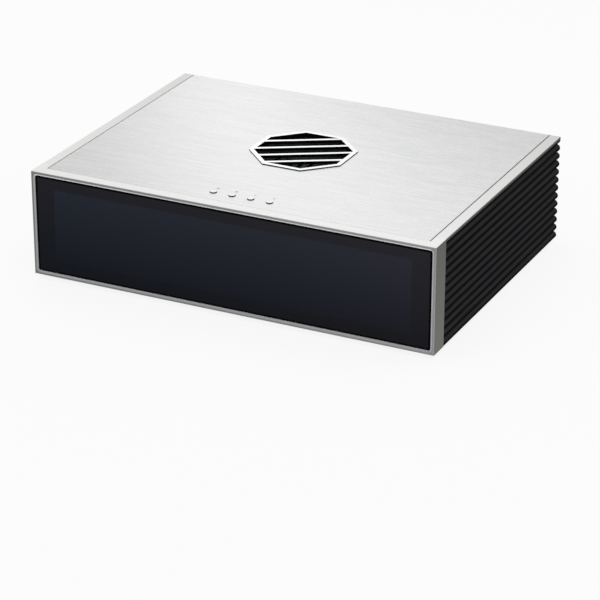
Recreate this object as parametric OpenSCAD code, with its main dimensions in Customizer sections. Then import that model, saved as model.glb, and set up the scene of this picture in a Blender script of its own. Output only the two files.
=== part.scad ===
// Network music streamer: a full-width aluminium case with a touch display across its front,
// ribbed cooling panels on both sides, a vent and four buttons in its top.
// +Z is up, the front faces -Y, and the origin is on the ground under the middle of the case.

/* [Case] */
// Overall width
body_w = 430; // [410:1:470]
// Overall depth, front face to rear edge
body_d = 316; // [300:1:380]
// Height of the case above the feet
body_h = 109; // [104:0.5:130]
// Height of the feet
foot_h = 5; // [4:0.5:12]

/* [Front frame and glass] */
// Width of the silver border round the glass
frame_border = 3.9; // [3.5:0.1:6]
// Width of the sloping inner edge of the border
frame_bevel = 1.6; // [1:0.1:3]
// Depth of the glass behind the front face
glass_recess = 1.1; // [0.8:0.1:3]
// Thickness of the cover glass
glass_t = 2; // [1.1:0.1:3]
// Corner radius of the glass pocket
glass_r = 2.5; // [2:0.5:6]
// Open joint round the glass
glass_gap = 0.5; // [0.2:0.1:0.8]
// Depth of the frame along the top and bottom
strip_d = 12.5; // [12:0.5:18]
// Depth of the frame down the two sides
cheek_d = 23; // [20:0.5:30]
// Small chamfer on the outer edges
edge_c = 0.4; // [0.2:0.1:1]

/* [Display] */
// Dark border of the glass at each end of the lit area
lcd_border_x = 20.2; // [14:0.2:40]
// Dark border of the glass above and below the lit area
lcd_border_z = 13.7; // [10:0.1:20]
// Thickness of the display housing
lcd_t = 6; // [5:0.5:7]

/* [Top] */
// Thickness of the top plate
top_t = 4; // [3:0.5:5]
// Width of the rails beside the top plate
rail_w = 11; // [10.5:0.5:14]
// Height of the rail that shows on the side of the case
rail_edge_h = 2.8; // [2:0.1:4]
// Open joint between the top plate and the rails
side_seam = 0.5; // [0.3:0.1:1]
// Open joint between the top plate and the front frame
front_seam = 0.2; // [0.1:0.1:0.6]

/* [Vent] */
// Vent size across its flats
vent_flats = 100; // [80:1:120]
// Vent centre, behind the middle of the case
vent_y = 7.5; // [-10:0.5:20]
// Width of the vent's rim
vent_rim = 4.5; // [3:0.5:8]
// Width of each vent bar
vent_bar_w = 4; // [3:0.5:6]
// Number of vent bars
vent_bars = 4; // [3:1:5]
// Slant of the bars
vent_slant = 30; // [0:5:60]
// Height of the vent above the top plate
vent_proud = 0.9; // [0.3:0.1:2]
// Depth of the black well under the vent
well_depth = 18; // [12:1:22]

/* [Buttons] */
// Diameter of a button
button_d = 7; // [6:0.5:9]
// Distance between buttons
button_pitch = 20; // [16:1:24]
// Button centres behind the front face
button_back = 30.5; // [30:0.5:40]
// Height of a button above the top plate
button_proud = 0.8; // [0.6:0.1:1.5]
// Travel of a button
button_travel = 0.4; // [0.2:0.1:0.5]

/* [Side panels] */
// Thickness of the wall behind the ribs
side_wall = 4.8; // [4:0.2:7]
// Depth of the ribs
rib_depth = 3.2; // [2:0.2:3.4]
// Radius of the rounded rib faces
rib_r = 3.8; // [3.6:0.1:4.2]
// Number of grooves
groove_count = 12; // [11:1:12]
// First groove below the top of the case
groove_first = 7.8; // [7:0.1:10]
// Last groove above the bottom of the case
groove_last = 6; // [5:0.1:9]
// Open joint between the front frame and a side panel
cheek_gap = 1.2; // [0.5:0.1:2]

/* [Base and back] */
// Thickness of the base plate
base_t = 2; // [1.5:0.5:3]
// Thickness of the rear panel
back_t = 2; // [1.5:0.5:3]
// Depth of the rear panel inside the case's rear edge
back_inset = 11; // [11:0.5:16]

/* [Feet] */
// Diameter of a foot
foot_d = 40; // [30:1:50]
// Foot centre in from the side of the case
foot_in_x = 50; // [40:1:70]
// Foot centre in from the front and rear of the case
foot_in_y = 43; // [40:1:60]
// Height of the rubber pad below the foot
pad_proud = 0.8; // [0.4:0.1:1.5]

/* [Rear sockets] */
// Outer diameter of a phono socket
phono_d = 8.3; // [8.2:0.05:8.4]
// Pin hole of a phono socket
phono_bore = 3.2; // [3.1:0.05:3.3]
// Inner diameter of a balanced socket
xlr_bore = 19.2; // [19:0.1:19.6]
// Tilt of the power rocker to each side
rocker_tilt = 10; // [6:1:12]

/* [Inside] */
// Diameter of the toroidal transformer
toroid_d = 116; // [100:1:118]
// Height of the toroidal transformer
toroid_h = 52; // [45:1:60]
// Height of the board pillars
pillar_h = 8; // [6:0.5:12]
// Thickness of the circuit boards
board_t = 1.6; // [1.2:0.2:2]

/* [Hidden] */
$fn = 48;
cut = 1;             // overshoot of a cutter past a face
fuse = 0.1;          // overlap of shapes that make one piece
fit = 0.3;           // gap between pieces that slip together
screw_r = 1.4;       // M3 shank, drawn under its holes
screw_clear_r = 1.7;
screw_tap_r = 1.45;
screw_head_r = 2.8;
screw_head_h = 1.8;
screw_grip = 5;      // depth of a tapped hole
screw_short = 0.4;   // screw's end short of its hole's end
blind_wall = 1;      // wall left behind a blind hole

// Planes of the case
x_out = body_w / 2;
y_front = -body_d / 2;
y_rear = body_d / 2;
z_bot = foot_h;
z_top = foot_h + body_h;
z_mid = (z_bot + z_top) / 2;
side_t = side_wall + rib_depth;
x_in = x_out - side_t;
x_rail = x_out - rail_w;
z_under = z_top - top_t;
z_floor = z_bot + base_t;
y_back = y_rear - back_inset;
y_inner = y_back - back_t;
y_strip = y_front + strip_d;
y_cheek = y_front + cheek_d;
ledge_w = 8;         // shelves that carry the top plate and the base
ledge_t = 3;
shelf_root = 3;      // the frame's shelves inside its strips

// Glass and display
pocket_w = body_w - 2 * frame_border;
pocket_h = body_h - 2 * frame_border;
gasket_t = 0.5;
gasket_w = 5.5;
frame_lip = 6;       // shelf of the frame behind the glass
frame_lip_t = 2.5;
window_w = pocket_w - 2 * frame_lip;
window_h = pocket_h - 2 * frame_lip;
y_glass = y_front + glass_recess;
y_gasket = y_glass + glass_t;
y_lip = y_gasket + gasket_t;
y_lip_rear = y_lip + frame_lip_t;
lcd_w = pocket_w - 2 * lcd_border_x;
lcd_h = pocket_h - 2 * lcd_border_z;
lcd_r = 1;
lcd_panel_t = 1.8;
housing_gap_x = 2;   // display housing inside the frame's window
housing_gap_z = 1.5;
housing_r = 2;
lcd_house_w = window_w - 2 * housing_gap_x;
lcd_house_h = window_h - 2 * housing_gap_z;
y_lcd_rear = y_gasket + lcd_t;
tray_t = 1.2;
tray_gap = 0.6;
display_post_h = 4;
y_display_board = y_lcd_rear + tray_t + display_post_h;
display_board_w = 120;
display_board_h = 50;
display_screw_in = 5;

// Vent
vent_gap = 0.3;
vent_bar_t = 3;
vent_bar_pitch = (vent_flats - 2 * vent_rim + vent_bar_w) / (vent_bars + 1);
well_clear = 0.5;    // well outside the rim's inner edge
well_wall = 1.2;
well_flange = 6;
well_slots = 9;
well_slot_w = 4;
well_slot_l = 46;

// Buttons and their board
button_count = 4;
button_gap = 0.15;
button_c = 0.3;
button_flange = 1.2; // flange past the button's side
button_flange_t = 1;
button_rest_gap = 0.1;
stem_d = 3.4;
stem_h = 2.6;
switch_w = 6.2;
switch_h = 3.5;
button_y = y_front + button_back;
button_x = [for (i = [0 : button_count - 1]) (i - (button_count - 1) / 2) * button_pitch];
z_flange = z_under - button_rest_gap;
z_stem = z_flange - button_flange_t - stem_h;
z_switch = z_flange - button_flange_t - button_travel - fit;
z_button_board = z_switch - switch_h - board_t;
button_board_end = 8;
button_board_w = button_count * button_pitch + 2 * button_board_end;
button_board_d = 14;
button_post_in = 5;
button_post_r = 3;
button_posts = [for (s = [-1, 1]) [s * (button_board_w / 2 - button_post_in), button_y]];

// Side panels
groove_pitch = (body_h - groove_first - groove_last) / (groove_count - 1);
rib_z = [for (i = [0 : groove_count]) z_top - groove_first + groove_pitch * (0.5 - i)];
z_panel_top = z_top - rail_edge_h;
y_panel = y_cheek + cheek_gap;
bracket_t = 3;
bracket_l = 36;
bracket_h = 50;
bracket_lap = 10.2;  // bracket in front of the frame's rear edge
bracket_hole_lap = 8;
bracket_pitch_y = 20;
bracket_pitch_z = 32;
bracket_y = [y_cheek - bracket_hole_lap, y_cheek - bracket_hole_lap + bracket_pitch_y];
bracket_z = [z_mid - bracket_pitch_z / 2, z_mid + bracket_pitch_z / 2];

// Base
base_rear_in = 2;    // base plate inside the case's rear edge
base_slots = 7;
base_slot_w = 4;
base_slot_l = 34;
base_slot_pitch = 10;
base_slot_x = 45;
base_slot_y = -60;

// Rear panel. Sockets stand in from the case's inner walls and above its bottom,
// sizes in brackets are [width, height, depth], and [x, z] is a centre.
panel_flange = 12;
panel_bend_t = 1.5;
panel_flange_end = 1;
panel_flange_gap = 4;  // flange clear of the main board
post_w = 8;
xlr_in = 30;
xlr_pitch = 34;
xlr_rise = 72;
xlr_places = [for (i = [0, 1]) [x_in - xlr_in - i * xlr_pitch, z_bot + xlr_rise]];
xlr_flange = [26, 31, 2.2];
xlr_corner = 2.5;
xlr_wall = 1.9;
xlr_shell_r = xlr_bore / 2 + xlr_wall;
xlr_depth = 18;
xlr_insert_t = 4;
xlr_insert_gap = 0.05;
xlr_pin_r = 1.2;
xlr_pin_ring = 4.25;
xlr_pin_in = 1;
phono_in = 24;
phono_pitch = 18;
phono_digital_in = 118;
phono_rise = 34;
phono_analogue_x = [for (i = [0 : 3]) x_in - phono_in - i * phono_pitch];
digital_x = [for (i = [0, 1]) x_in - phono_digital_in - i * phono_pitch];
phono_x = concat(phono_analogue_x, digital_x);
phono_z = z_bot + phono_rise;
phono_flange_r = 6;
phono_flange_t = 2;
phono_barrel = 8.5;
phono_shank_r = 4;
phono_shank = 8;
phono_wall = 0.85;
phono_hole_gap = 0.2;
phono_insert_gap = 0.02;
phono_insert_in = 0.3;
y_phono_end = y_back + phono_flange_t + phono_barrel;
inlet_in = 36;
inlet_rise = 32;
inlet_place = [-x_in + inlet_in, z_bot + inlet_rise];
inlet_flange = [31, 24, 2];
inlet_body = [27, 20, 18];
inlet_mouth = [24.6, 16.8, 15];
inlet_corner = 4;
inlet_pin = [2, 4, 13];
inlet_pin_x = 7;
inlet_pin_z = 2;
rocker_rise = 70;
rocker_place = [inlet_place[0], z_bot + rocker_rise];
rocker_flange = [15, 21, 2];
rocker_body = [13, 19, 14];
rocker_mouth = [10.6, 17.2, 11.5];
rocker_w = 10.2;
rocker_r = 8.2;
rocker_tip = 5.6;      // ends and middle of its face before the pivot
rocker_dish = 1;
rocker_toe = 3;        // ends and middle of its heel behind the pivot
rocker_heel = 6;
rocker_pivot_in = 2;   // pivot inside the panel's outer face
trunnion_r = 1.2;
trunnion_gap = 0.05;
trunnion_wall = 0.4;
trunnion_play = 0.1;
optical_rise = 62;
optical_places = [for (x = digital_x) [x, z_bot + optical_rise]];
optical_body = [10, 10, 14];
optical_mouth = [7, 7.2, 10];
flap_t = 0.8;
flap_gap = 0.2;
flap_pin_r = 0.45;
flap_pin_gap = 0.05;
flap_pin_reach = 0.8;  // pin past the sides of the mouth
flap_pin_play = 0.1;
flap_drop = 0.7;       // pivot below the mouth's ceiling
flap_in = 0.9;         // pivot inside the socket's face
socket_proud = 0.5;    // board sockets past the rear panel
y_socket = y_back + socket_proud;

// Boards: [x, y, width, depth] from the near left corner
z_board = z_floor + pillar_h;
z_parts = z_board + board_t;
board_hole_in = 4.5;
pillar_r = 3;
psu_size = [120, 82];
psu_in = 12;
psu_back = 28;
psu = [-x_in + psu_in, y_strip + psu_back, psu_size[0], psu_size[1]];
main_size = [126, 124];
main_x = -60;
main_gap = 1;
main = [main_x, y_inner - main_gap - main_size[1], main_size[0], main_size[1]];
dac_size = [106, 92];
dac_in = 12;
dac_gap = 30;
dac = [x_in - dac_in - dac_size[0], y_inner - dac_gap - dac_size[1], dac_size[0], dac_size[1]];
boards = [psu, main, dac];
lan_in = 102;          // sockets in from the main board's left edge
usb_in = 70;
hdmi_in = 38;
lan_x = main_x + lan_in;
usb_x = main_x + usb_in;
hdmi_x = main_x + hdmi_in;
lan_body = [16, 13.6, 21.5];
lan_mouth = [11.9, 8.3, 14];
lan_mouth_up = 2;
lan_latch = [6.2, 2];
usb_body = [14.4, 15.8, 18];
usb_slot = [12.6, 5.2, 13];
usb_tongue = [11, 1.9, 10];
usb_tongue_up = 0.9;
hdmi_body = [15.4, 6.4, 12];
hdmi_slot = [14.1, 4.5, 9];
hdmi_corner = [2, 1.8];
hdmi_tongue = [11, 1.2, 7];
hdmi_tongue_up = 0.3;
soc_in = 60;
soc_back = 52;
soc_place = [main[0] + soc_in, main[1] + soc_back];
soc_size = [24, 24, 1.8];
memory_size = [12, 10, 1.1];
memory_gap = 6;
sink_w = 56;
sink_base = 4;
sink_h = 24;
sink_fins = 9;
sink_fin_t = 1.6;
dac_chip = [10, 10, 1.4];
dac_chip_pitch = 32;
can_groove = 0.5;      // groove and foot of a can capacitor, and its shoulder
can_foot = 2.5;
can_shoulder = 0.7;
audio_cap_r = 5;
audio_cap_h = 16;
audio_cap_in_x = 20;
audio_cap_in_y = 22;
audio_cap_pitch_x = 22;
audio_cap_pitch_y = 48;
psu_cap_r = 12.5;
psu_cap_h = 40;
psu_cap_in = 24;
psu_cap_pitch_x = 30;
psu_cap_pitch_y = 32;
psu_sink_t = 3;
psu_sink_l = 60;
psu_sink_h = 34;
psu_sink_fins = 8;
psu_sink_fin_l = 8;
psu_sink_in = 24;
psu_sink_front = 10;
cable_w = 24;
cable_t = 0.4;
cable_in = 30;         // cable in from the main board's left edge
cable_tail = 6;        // its ends on the boards, and its bends
cable_step = 2;        // its rise in front of the main board's edge
cable_up = 4;          // its start above the middle of the display
cable_low = 4;         // its run above the floor

// Transformer
toroid_bore = 40;
toroid_round = 12;
toroid_in = 72;
toroid_gap = 8;        // winding behind the supply board
toroid_x = -x_in + toroid_in;
toroid_y = psu[1] + psu_size[1] + toroid_gap + toroid_d / 2;
toroid_pad_t = 3;
clamp_t = 2;
clamp_r = 40;
stud_r = 4;
nut_h = 6.5;
nut_r = 7.5;
nut_gap = 0.1;
stud_past = 3;         // stud above its nut
z_toroid = z_floor + toroid_pad_t;
z_clamp = z_toroid + toroid_h + toroid_pad_t;

// Feet and their screws
foot_x = x_out - foot_in_x;
foot_y = body_d / 2 - foot_in_y;
foot_places = [for (sx = [-1, 1], sy = [-1, 1]) [sx * foot_x, sy * foot_y]];
foot_c = 1.5;
pad_in = 4;            // pad inside the foot's edge
pad_r = foot_d / 2 - pad_in;
pad_hole_r = 6;
pad_seat = 1.2;
foot_well_r = 4.6;
foot_screw_floor = 1.4;
foot_screw_past = 0.5; // screw's end above the base plate
z_foot_screw = pad_proud + foot_screw_floor;

// Screws of the case
side_screws = 4;
side_screw_in = 17.5;
side_screw_pitch = (y_rear - y_panel - 2 * side_screw_in) / (side_screws - 1);
side_screw_y = [for (i = [0 : side_screws - 1]) y_panel + side_screw_in + i * side_screw_pitch];
side_screw_x = x_in - ledge_w / 2;
side_places = [for (y = side_screw_y) [side_screw_x, y]];
front_screw_in = 62;
front_screw_back = 4.5;
front_places = [for (i = [-1, 0, 1]) [i * (x_in - front_screw_in), y_strip + front_screw_back]];
rear_screw_low = 20;
rear_screw_high = 22;
rear_screw_z = [z_bot + rear_screw_low, z_top - rear_screw_high];
rear_screw_x = x_in - post_w / 2;

// Helpers

module box(x0, x1, y0, y1, z0, z1) {
    translate([x0, y0, z0]) cube([x1 - x0, y1 - y0, z1 - z0]);
}

// A drawing in X and Z, pulled along Y
module along_y(y0, y1) {
    translate([0, y1, 0]) rotate([90, 0, 0]) linear_extrude(y1 - y0) children();
}

// A drawing in Y and Z, pulled along X
module along_x(x0, x1) {
    translate([x0, 0, 0]) rotate([90, 0, 90]) linear_extrude(x1 - x0) children();
}

// The same shape on both sides of the case
module both_sides() {
    children();
    mirror([1, 0, 0]) children();
}

module at_each(places) {
    for (p = places) translate(p) children();
}

module round_rect(w, h, r) {
    square([w - 2 * r, h], center = true);
    square([w, h - 2 * r], center = true);
    for (sx = [-1, 1], sy = [-1, 1])
        translate([sx * (w / 2 - r), sy * (h / 2 - r)]) circle(r);
}

module octagon(flats) {
    rotate(22.5) circle(r = flats / 2 / cos(22.5), $fn = 8);
}

// A plate with round corners that faces the front, centred on the case
module front_plate(w, h, r, y0, y1) {
    along_y(y0, y1) translate([0, z_mid]) round_rect(w, h, r);
}

module rod_x(y, z, r, x0, x1) {
    translate([x0, y, z]) rotate([0, 90, 0]) cylinder(h = x1 - x0, r = r);
}

module rod_y(x, z, r, y0, y1) {
    translate([x, y1, z]) rotate([90, 0, 0]) cylinder(h = y1 - y0, r = r);
}

module rod_z(r, z0, z1) {
    translate([0, 0, z0]) cylinder(h = z1 - z0, r = r);
}

// A box on the rear panel: centre [x, z], size [w, h], from y0 to y1
module rear_box(place, size, y0, y1, grow = 0) {
    w = size[0] / 2 + grow;
    h = size[1] / 2 + grow;
    box(place[0] - w, place[0] + w, y0, y1, place[1] - h, place[1] + h);
}

// A pan-head screw with its head's seat at the origin and its shank along -Z
module pan_screw(grip) {
    rod_z(screw_r, -grip, 0);
    rod_z(screw_head_r, 0, screw_head_h);
}

// The same screw put in from below
module screw_from_below(z, grip) {
    translate([0, 0, z]) rotate([180, 0, 0]) pan_screw(grip);
}

function board_corners(b) = [
    for (sx = [0, 1], sy = [0, 1])
        [b[0] + board_hole_in + sx * (b[2] - 2 * board_hole_in),
         b[1] + board_hole_in + sy * (b[3] - 2 * board_hole_in)]
];

// Left edges of fins of thickness t, spread over a span
function fin_starts(count, span, t) = [for (i = [0 : count - 1]) i * (span - t) / (count - 1)];

module board(b) {
    difference() {
        translate([b[0], b[1], z_board]) cube([b[2], b[3], board_t]);
        at_each(board_corners(b)) rod_z(screw_clear_r, z_board - cut, z_parts + cut);
    }
}

// A can capacitor with a groove above its foot
module can(r, h) {
    rotate_extrude() polygon([
        [0, 0], [r - can_groove, 0], [r - can_groove, can_foot], [r, can_foot + can_groove],
        [r, h - can_shoulder], [r - can_shoulder, h], [0, h]]);
}

// Front

// The sloping mouth round the glass: flat slopes along the edges and cones at the corners
module bevel_mouth() {
    cx = pocket_w / 2 - glass_r;
    cz = pocket_h / 2 - glass_r;
    wide = glass_r + frame_bevel;
    along_x(-cx, cx) polygon([
        [y_front, z_mid - cz - wide], [y_glass, z_mid - cz - glass_r],
        [y_glass, z_mid + cz + glass_r], [y_front, z_mid + cz + wide]]);
    translate([0, 0, z_mid - cz]) linear_extrude(2 * cz) polygon([
        [-cx - wide, y_front], [cx + wide, y_front], [cx + glass_r, y_glass], [-cx - glass_r, y_glass]]);
    for (sx = [-1, 1], sz = [-1, 1])
        translate([sx * cx, y_glass, z_mid + sz * cz]) rotate([90, 0, 0])
            cylinder(h = glass_recess, r1 = glass_r, r2 = wide);
}

// The frame's bar: chamfered all round its front
module frame_blank() {
    intersection() {
        translate([0, 0, z_bot]) linear_extrude(body_h) polygon([
            [-x_out + edge_c, y_front], [x_out - edge_c, y_front], [x_out, y_front + edge_c],
            [x_out, y_cheek], [-x_out, y_cheek], [-x_out, y_front + edge_c]]);
        along_x(-x_out - cut, x_out + cut) polygon([
            [y_front, z_bot + edge_c], [y_front, z_top - edge_c], [y_front + edge_c, z_top],
            [y_cheek, z_top], [y_cheek, z_bot], [y_front + edge_c, z_bot]]);
    }
}

module front_frame() {
    shelf_x = x_rail - ledge_w - fit;
    color("silver") difference() {
        union() {
            difference() {
                frame_blank();
                box(-x_rail, x_rail, y_strip, y_cheek + cut, z_bot - cut, z_top + cut);
                both_sides()
                    box(x_rail - cut, x_in, y_strip, y_cheek + cut, z_bot - cut, z_under - ledge_t);
                front_plate(pocket_w, pocket_h, glass_r, y_lip_rear, y_strip + cut);
            }
            for (z = [z_under - ledge_t, z_floor])
                box(-shelf_x, shelf_x, y_strip - shelf_root, y_strip + ledge_w, z, z + ledge_t);
        }
        front_plate(pocket_w, pocket_h, glass_r, y_front - cut, y_lip);
        front_plate(window_w, window_h, glass_r, y_front - cut, y_strip + cut);
        bevel_mouth();
        at_each(front_places) rod_z(screw_tap_r, z_floor - cut, z_floor + ledge_t + cut);
        both_sides() for (z = bracket_z)
            rod_x(bracket_y[0], z, screw_tap_r, x_in - cut, x_in + screw_grip);
    }
}

// The outline of the cover glass
module glass_plate(y0, y1) {
    front_plate(pocket_w - 2 * glass_gap, pocket_h - 2 * glass_gap, glass_r - glass_gap, y0, y1);
}

module front_glass() {
    color([0.05, 0.05, 0.06]) glass_plate(y_glass, y_gasket);
}

module glass_gasket() {
    color([0.02, 0.02, 0.02]) difference() {
        glass_plate(y_gasket, y_lip);
        front_plate(pocket_w - 2 * gasket_w, pocket_h - 2 * gasket_w, glass_r, y_gasket - cut, y_lip + cut);
    }
}

module lcd_panel() {
    color([0.08, 0.09, 0.12]) front_plate(lcd_w, lcd_h, lcd_r, y_gasket, y_gasket + lcd_panel_t);
}

// The outline of the display housing, grown on all sides
module housing_plate(grow, y0, y1) {
    front_plate(lcd_house_w + 2 * grow, lcd_house_h + 2 * grow, housing_r + grow, y0, y1);
}

module lcd_housing() {
    color([0.04, 0.04, 0.04]) difference() {
        housing_plate(0, y_gasket, y_lcd_rear);
        front_plate(lcd_w, lcd_h, lcd_r, y_gasket - cut, y_gasket + lcd_panel_t);
    }
}

// Four posts or holes behind the display
module display_posts(r, y0, y1) {
    for (sx = [-1, 1], sz = [-1, 1])
        rod_y(sx * (display_board_w / 2 - display_screw_in),
              z_mid + sz * (display_board_h / 2 - display_screw_in), r, y0, y1);
}

module display_tray() {
    color([0.6, 0.6, 0.62]) {
        difference() {
            union() {
                front_plate(pocket_w - 2 * tray_gap, pocket_h - 2 * tray_gap, glass_r,
                            y_lip_rear, y_lip_rear + tray_t);
                housing_plate(tray_t, y_lip_rear, y_lcd_rear + tray_t);
            }
            housing_plate(0, y_lip_rear - cut, y_lcd_rear);
        }
        display_posts(pillar_r, y_lcd_rear + tray_t - fuse, y_display_board);
    }
}

module display_board() {
    color("darkgreen") difference() {
        box(-display_board_w / 2, display_board_w / 2, y_display_board, y_display_board + board_t,
            z_mid - display_board_h / 2, z_mid + display_board_h / 2);
        display_posts(screw_clear_r, y_display_board - cut, y_display_board + board_t + cut);
    }
}

// Flat cable from the display board, down and back along the floor, to the main board's front edge
module display_cable() {
    x0 = main[0] + cable_in;
    y0 = y_display_board + board_t;
    y_turn = y0 + cable_tail;
    y_ramp = main[1] - cable_tail;
    y_edge = main[1] - cable_step;
    y1 = main[1] + cable_tail;
    z_start = z_mid + cable_up;
    z_low = z_floor + cable_low;
    t = cable_t;
    color("white") along_x(x0, x0 + cable_w) polygon([
        [y0, z_start], [y_turn, z_start], [y_turn, z_low + t], [y_ramp, z_low + t],
        [y_edge, z_parts + t], [y1, z_parts + t], [y1, z_parts], [y_edge + t, z_parts],
        [y_ramp + t, z_low], [y_turn - t, z_low], [y_turn - t, z_start - t], [y0, z_start - t]]);
}

// Top

module top_plate() {
    color([0.86, 0.87, 0.88]) difference() {
        box(-x_rail + side_seam, x_rail - side_seam, y_strip + front_seam, y_rear, z_under, z_top);
        translate([0, vent_y, z_under - cut])
            linear_extrude(top_t + 2 * cut) octagon(vent_flats + 2 * vent_gap);
        for (x = button_x) translate([x, button_y])
            rod_z(button_d / 2 + button_gap, z_under - cut, z_top + cut);
    }
}

module rail() {
    color("silver") along_y(y_cheek, y_rear) polygon([
        [x_rail, z_top], [x_out - edge_c, z_top], [x_out, z_top - edge_c], [x_out, z_panel_top],
        [x_in - fit, z_panel_top], [x_in - fit, z_under - ledge_t], [x_rail - ledge_w, z_under - ledge_t],
        [x_rail - ledge_w, z_under], [x_rail, z_under]]);
}

module right_rail() { rail(); }
module left_rail() { mirror([1, 0, 0]) rail(); }

module vent_grille() {
    color([0.92, 0.92, 0.92]) translate([0, vent_y, z_under]) {
        linear_extrude(top_t + vent_proud) difference() {
            octagon(vent_flats);
            octagon(vent_flats - 2 * vent_rim);
        }
        translate([0, 0, top_t + vent_proud - vent_bar_t]) linear_extrude(vent_bar_t) intersection() {
            octagon(vent_flats - vent_rim);
            rotate(vent_slant) for (i = [0 : vent_bars - 1])
                translate([0, (i - (vent_bars - 1) / 2) * vent_bar_pitch])
                    square([2 * vent_flats, vent_bar_w], center = true);
        }
    }
}

module vent_well() {
    inner = vent_flats - 2 * vent_rim + 2 * well_clear;
    slot_pitch = inner / (well_slots + 1);
    color([0.03, 0.03, 0.03]) translate([0, vent_y, z_under - well_depth]) {
        linear_extrude(well_wall) difference() {
            octagon(inner + 2 * well_wall);
            for (i = [0 : well_slots - 1]) translate([(i - (well_slots - 1) / 2) * slot_pitch, 0])
                square([well_slot_w, well_slot_l], center = true);
        }
        linear_extrude(well_depth) difference() {
            octagon(inner + 2 * well_wall);
            octagon(inner);
        }
        translate([0, 0, well_depth - well_wall]) linear_extrude(well_wall) difference() {
            octagon(vent_flats + 2 * well_flange);
            octagon(inner);
        }
    }
}

// Sides

module side_panel() {
    h = z_panel_top - z_bot;
    color([0.07, 0.07, 0.07]) difference() {
        along_y(y_panel, y_rear) {
            intersection() {
                translate([x_in, z_bot]) square([side_t, h]);
                union() {
                    translate([x_in, z_bot]) square([side_wall, h]);
                    for (z = rib_z) translate([x_out - rib_r, z]) circle(rib_r);
                }
            }
            translate([x_in - ledge_w, z_floor]) square([ledge_w + side_wall / 2, ledge_t]);
        }
        at_each(side_places) rod_z(screw_tap_r, z_floor - cut, z_floor + ledge_t + cut);
        for (z = bracket_z) rod_x(bracket_y[1], z, screw_tap_r, x_in - cut, x_in + side_wall - blind_wall);
    }
}

module right_side_panel() { side_panel(); }
module left_side_panel() { mirror([1, 0, 0]) side_panel(); }

module corner_brackets() {
    y0 = y_cheek - bracket_lap;
    color([0.6, 0.6, 0.62]) both_sides() difference() {
        box(x_in - bracket_t, x_in, y0, y0 + bracket_l, z_mid - bracket_h / 2, z_mid + bracket_h / 2);
        for (z = bracket_z, y = bracket_y) rod_x(y, z, screw_clear_r, x_in - bracket_t - cut, x_in + cut);
    }
}

// Base and back

module base_plate() {
    color([0.12, 0.12, 0.12]) difference() {
        box(-x_in + fit, x_in - fit, y_strip + fit, y_rear - base_rear_in, z_bot, z_floor);
        both_sides() at_each(side_places) rod_z(screw_clear_r, z_bot - cut, z_floor + cut);
        at_each(front_places) rod_z(screw_clear_r, z_bot - cut, z_floor + cut);
        at_each(foot_places) rod_z(screw_tap_r, z_bot - cut, z_floor + cut);
        for (x = [-base_slot_x, base_slot_x], i = [0 : base_slots - 1])
            translate([x, base_slot_y + (i - (base_slots - 1) / 2) * base_slot_pitch, z_bot - cut])
                linear_extrude(base_t + 2 * cut) slot_outline(base_slot_l, base_slot_w);
    }
}

// A slot with round ends
module slot_outline(l, w) {
    square([l - w, w], center = true);
    for (s = [-1, 1]) translate([s * (l - w) / 2, 0]) circle(w / 2);
}

module rear_panel() {
    w = x_in - fit;
    y0 = y_inner - panel_flange;
    low = w - ledge_w - panel_flange_end;
    high = x_rail - ledge_w - panel_flange_end;
    color([0.14, 0.14, 0.15]) difference() {
        union() {
            box(-w, w, y_inner, y_back, z_floor, z_under);
            for (span = [[-low, main[0] - panel_flange_gap], [main[0] + main[2] + panel_flange_gap, low]])
                box(span[0], span[1], y0, y_inner + fuse, z_floor, z_floor + panel_bend_t);
            box(-high, high, y0, y_inner + fuse, z_under - panel_bend_t, z_under);
        }
        both_sides() {
            box(x_rail - ledge_w - fit, w + cut, y_inner - cut, y_back + cut,
                z_under - ledge_t - fit, z_under + cut);
            box(x_in - ledge_w - fit, w + cut, y_inner - cut, y_back + cut,
                z_floor - cut, z_floor + ledge_t + fit);
            for (z = rear_screw_z) rod_y(rear_screw_x, z, screw_clear_r, y_inner - cut, y_back + cut);
        }
        panel_holes(y_inner - cut, y_back + cut);
    }
}

// Holes of the rear panel, each its socket's size and a gap
module panel_holes(y0, y1) {
    for (p = xlr_places) rod_y(p[0], p[1], xlr_shell_r + fit, y0, y1);
    for (x = phono_x) rod_y(x, phono_z, phono_shank_r + phono_hole_gap, y0, y1);
    rear_box(inlet_place, inlet_body, y0, y1, fit);
    rear_box(rocker_place, rocker_body, y0, y1, fit);
    for (p = optical_places) rear_box(p, optical_body, y0, y1, fit);
    for (j = [[lan_x, lan_body], [usb_x, usb_body], [hdmi_x, hdmi_body]])
        rear_box([j[0], z_parts + j[1][1] / 2], j[1], y0, y1, fit);
}

module rear_posts() {
    color("silver") both_sides() difference() {
        box(x_in - post_w, x_in, y_inner - post_w, y_inner, z_floor + ledge_t, z_under - ledge_t);
        for (z = rear_screw_z) rod_y(rear_screw_x, z, screw_tap_r, y_inner - screw_grip, y_inner + cut);
    }
}

// Buttons

module button(i) {
    r = button_d / 2;
    flange_r = r + button_flange;
    z_face = z_top + button_proud;
    color([0.9, 0.9, 0.9]) translate([button_x[i], button_y, 0]) rotate_extrude() polygon([
        [0, z_stem], [stem_d / 2, z_stem], [stem_d / 2, z_stem + stem_h], [flange_r, z_stem + stem_h],
        [flange_r, z_flange], [r, z_flange], [r, z_face - button_c], [r - button_c, z_face], [0, z_face]]);
}

module power_button() { button(0); }
module play_button() { button(1); }
module volume_down_button() { button(2); }
module volume_up_button() { button(3); }

module switch_bodies() {
    h = switch_w / 2;
    color([0.1, 0.1, 0.1]) for (x = button_x) difference() {
        box(x - h, x + h, button_y - h, button_y + h, z_switch - switch_h, z_switch);
        translate([x, button_y]) rod_z(stem_d / 2 + button_gap, z_stem - button_travel - fit, z_switch + cut);
    }
}

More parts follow.
